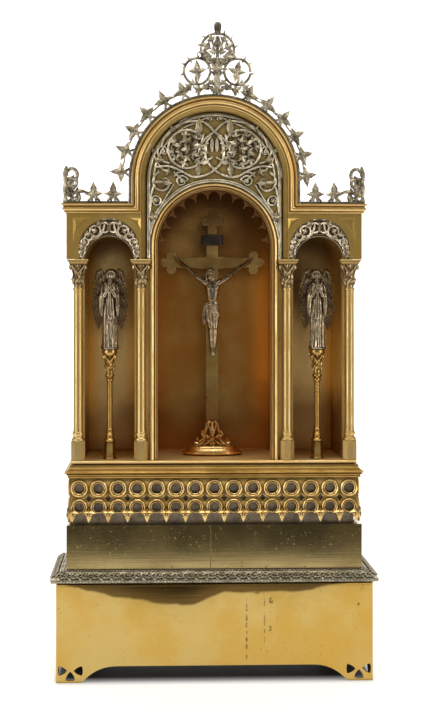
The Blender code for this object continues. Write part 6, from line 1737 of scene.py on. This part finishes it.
for name, side in (("left", -1), ("right", 1)):
    bm = bmesh.new()
    foot = CROWN_TOP + GAP
    top = foot + 0.0034
    lo, hi = sorted((side * (strip_outer + GAP), side * (UPPER_HALF + 0.0045)))
    add_plate(bm, [[(lo, foot), (hi, foot), (hi, top), (lo, top)]], cresting_front, strip_depth, 0.0004)
    for k, x in enumerate((0.1390, 0.1655)):
        cx, cz = side * x, top + 0.0100
        place = at_point(cx, cresting_front + 0.0008, cz, 90 + 3 * k)
        add_leaf(bm, place, 0.0172, ((0, 1.0), (90, 0.76), (-90, 0.76)), 0.28, 0.12, 0.34, 0.0018)
        runs = []
        for way in (-1, 1):
            for stem in (
                ((0.0084, 0.0002, 0.0015), (0.0044, 0.0036, 0.0020), (0.0008, 0.0100, 0.0016)),
                ((0.0030, -0.0004, 0.0015), (0.0016, 0.0050, 0.0015), (0.0, 0.0100, 0.0014)),
            ):
                runs.append(crest_run([(cx + way * u, top + w, radius) for u, w, radius in stem]))
        add_strands(bm, runs, smooth=4, round_steps=2)
        add_ball(bm, (cx, cresting_front - 0.0012, cz), (0.0018, 0.0012, 0.0018), 10, 6)
    knot = 0.1965

    runs = [crest_run(scroll, side, knot, top, 1.25) for scroll in (
        ((0.0086, -0.0004, 0.0021), (0.0076, 0.0080, 0.0022), (0.0088, 0.0170, 0.0021), (0.0072, 0.0270, 0.0023),
         (0.0086, 0.0370, 0.0021), (0.0070, 0.0450, 0.0020)),
        ((0.0060, -0.0004, 0.0018), (0.0084, 0.0100, 0.0018), (0.0062, 0.0190, 0.0020), (0.0084, 0.0300, 0.0020),
         (0.0064, 0.0400, 0.0018)),
        ((-0.0100, -0.0004, 0.0018), (-0.0112, 0.0060, 0.0020), (-0.0060, 0.0115, 0.0020), (-0.0010, 0.0070, 0.0018),
         (-0.0030, -0.0004, 0.0018)),
        ((-0.0030, -0.0004, 0.0016), (0.0010, 0.0090, 0.0018), (-0.0036, 0.0180, 0.0020), (-0.0078, 0.0240, 0.0018),
         (-0.0060, 0.0300, 0.0017)),
        ((0.0050, 0.0060, 0.0017), (0.0000, 0.0140, 0.0018), (0.0040, 0.0230, 0.0020), (-0.0010, 0.0290, 0.0020),
         (-0.0070, 0.0290, 0.0018)),
        ((0.0070, 0.0290, 0.0018), (0.0000, 0.0310, 0.0021), (-0.0070, 0.0300, 0.0018)),
        ((-0.0070, 0.0290, 0.0018), (-0.0084, 0.0370, 0.0020), (-0.0050, 0.0430, 0.0020), (0.0010, 0.0440, 0.0018),
         (0.0050, 0.0400, 0.0017)),
        ((0.0030, -0.0004, 0.0018), (-0.0020, 0.0050, 0.0017), (0.0040, 0.0120, 0.0017)),
        ((-0.0090, 0.0120, 0.0018), (-0.0160, 0.0130, 0.0016), (-0.0230, 0.0112, 0.0012)),
    )]
    add_strands(bm, runs, smooth=4, round_steps=2)
    for x, z, size in ((0.0064, 0.0462, 0.0020), (0.0012, 0.0452, 0.0016), (-0.0004, 0.0080, 0.0018)):
        add_ball(bm, (side * (knot + x), cresting_front + 0.0010, top + z), (size, size * 0.8, size), 12, 8)
    for x, z, size, turn in (
        (-0.0010, 0.0300, 0.0104, 190), (-0.0080, 0.0130, 0.0104, 170), (0.0010, 0.0190, 0.0110, 120),
        (0.0020, 0.0100, 0.0104, 60), (0.0056, 0.0360, 0.0060, 40), (-0.0070, 0.0050, 0.0070, -80),
    ):
        place = at_point(side * (knot + x), cresting_front, top + z, turn if side > 0 else 180 - turn)
        add_leaf(bm, place, size, ((0, 1.0), (70, 0.7), (-70, 0.7), (180, 0.6)), 0.26, 0.2, 0.3, 0.0016)
    finish_piece("bay_cresting_" + name, bm, crest_silver, "silvered_bronze", "cresting_" + name)

# ------------------------------------------------------------------ finial
# The middle of the cresting rises in three thorny hoops. The lower two hold a star leaf each,
# the upper one a spray of leaves and buds; an upright bud stands on top.

bm = bmesh.new()
foot = ARCH_Z + strip_outer + GAP
low_x, low_z, low_r, top_z, top_r = 0.0277, 0.8339, 0.0180, 0.8638, 0.0226


def spike(x, z, radius, turn, reach=0.0068):
    """A thorn on a hoop, outwards or, with a negative reach, inwards."""
    t = math.radians(turn)
    root = (x + radius * math.cos(t), z + radius * math.sin(t), 0.0018)
    hook = (x + (radius + reach) * math.cos(t + 0.10), z + (radius + reach) * math.sin(t + 0.10), 0.0003)
    return crest_run([root, hook])


runs = [crest_run([(x, z, 0.0018) for x, z in arc(0, top_z, top_r, -62, 242, 20)])]
runs += [spike(0, top_z, top_r, turn) for turn in (8, 38, 66, 134, 163, 186)]
for side in (-1, 1):
    x = side * low_x
    runs.append(crest_run([(px, pz, 0.0018) for px, pz in arc(x, low_z, low_r, 0, 352, 20)]))
    for reach, turns in ((0.0068, (-10, 30, 58, 96, 150)), (-0.0050, (165, 60))):
        runs += [spike(x, low_z, low_r, turn if side > 0 else 180 - turn, reach) for turn in turns]
    for stem in (
        ((0.0014, foot + 0.0010, 0.0020), (0.0020, 0.8200, 0.0022), (0.0032, 0.8360, 0.0024), (0.0080, 0.8470, 0.0022),
         (0.0170, 0.8530, 0.0018)),
        ((0.0010, 0.8240, 0.0022), (0.0016, 0.8400, 0.0021), (0.0040, 0.8520, 0.0020)),
        ((0.0010, 0.8120, 0.0020), (0.0060, 0.8180, 0.0021), (0.0120, 0.8170, 0.0020), (0.0150, 0.8120, 0.0018),
         (0.0110, 0.8090, 0.0015)),
        ((0.0040, foot, 0.0020), (0.0070, 0.8110, 0.0020), (0.0150, 0.8130, 0.0019), (0.0220, 0.8090, 0.0019),
         (0.0260, foot - 0.0022, 0.0020)),
        ((0.0030, 0.8280, 0.0018), (0.0080, 0.8330, 0.0018), (0.0105, 0.8300, 0.0014)),
        ((low_x, low_z, 0.0016), (low_x + 0.0020, low_z - low_r * 0.6, 0.0015), (low_x - 0.002, low_z - low_r, 0.0016)),
    ):
        runs.append(crest_run(stem, side))
    add_ball(bm, (side * 0.0086, cresting_front, 0.8490), (0.0026, 0.0020, 0.0026), 16, 10)
    turn = 78 if side > 0 else 96
    add_leaf(bm, at_point(x - side * 0.0006, cresting_front + 0.0006, low_z, turn, 0), 0.0158,
             ((0, 1.0), (82, 0.86), (-82, 0.80), (180, 0.94)), 0.30, 0.13, 0.30, 0.0018)
    for px, pz, size, aim in (
        (0.0130, 0.8670, 0.0118, 30), (0.0120, 0.8545, 0.0118, -6), (0.0080, 0.8770, 0.0096, 62),
        (0.0050, 0.8600, 0.0100, 80), (0.0030, 0.8700, 0.0090, 96), (0.0060, 0.8480, 0.0090, 46),
        (0.0176, 0.8590, 0.0080, 10), (0.0036, 0.8370, 0.0078, 76), (0.0250, 0.8090, 0.0100, 20),
        (0.0380, 0.8130, 0.0104, -40), (0.0160, 0.8110, 0.0086, 60), (0.0080, 0.8180, 0.0080, 50),
        (0.0330, 0.8160, 0.0080, 80), (0.0060, 0.8100, 0.0070, 10),
    ):
        place = at_point(side * px, cresting_front - 0.0004, pz, aim if side > 0 else 180 - aim)
        add_leaf(bm, place, size, ((0, 1.0), (66, 0.8), (-66, 0.8), (180, 0.5)), 0.27, 0.16, 0.32, 0.0018)
runs.append(crest_run([(0, foot, 0.0022), (0, 0.8200, 0.0024), (0, 0.8440, 0.0022), (0, 0.8640, 0.0020)]))
add_strands(bm, runs, smooth=4, round_steps=2)
for px, pz, wide, tall in ((0, 0.8780, 0.0032, 0.0052), (0, 0.8650, 0.0024, 0.0044), (0, 0.8560, 0.0026, 0.0030)):
    add_form(bm, (px, cresting_front + 0.0006, pz), (wide, 0.0022, tall))
bud = cresting_front + strip_depth / 2
for px, radius, lift in ((-0.0026, 0.0021, 0.0), (0.0, 0.0024, 0.0006), (0.0026, 0.0021, -0.0002)):
    petal = [
        (px * 0.5, bud - 0.0006, 0.8840, 0.0016), (px, bud - 0.0008, 0.8910, radius),
        (px * 1.15, bud - 0.0006, 0.8975, radius * 1.05), (px * 0.9, bud, 0.9016 + lift, radius * 0.6),
    ]
    add_strands(bm, [petal], smooth=5, round_steps=3)
lean = Matrix.Rotation(math.radians(0.6), 4, "Y")
about = Matrix.Translation((0.0034, 0, foot)) @ lean @ Matrix.Translation((0, 0, -foot))
bmesh.ops.transform(bm, matrix=about, verts=bm.verts)
finish_piece("crowning_finial", bm, crest_silver, "silvered_bronze", "top_finial")
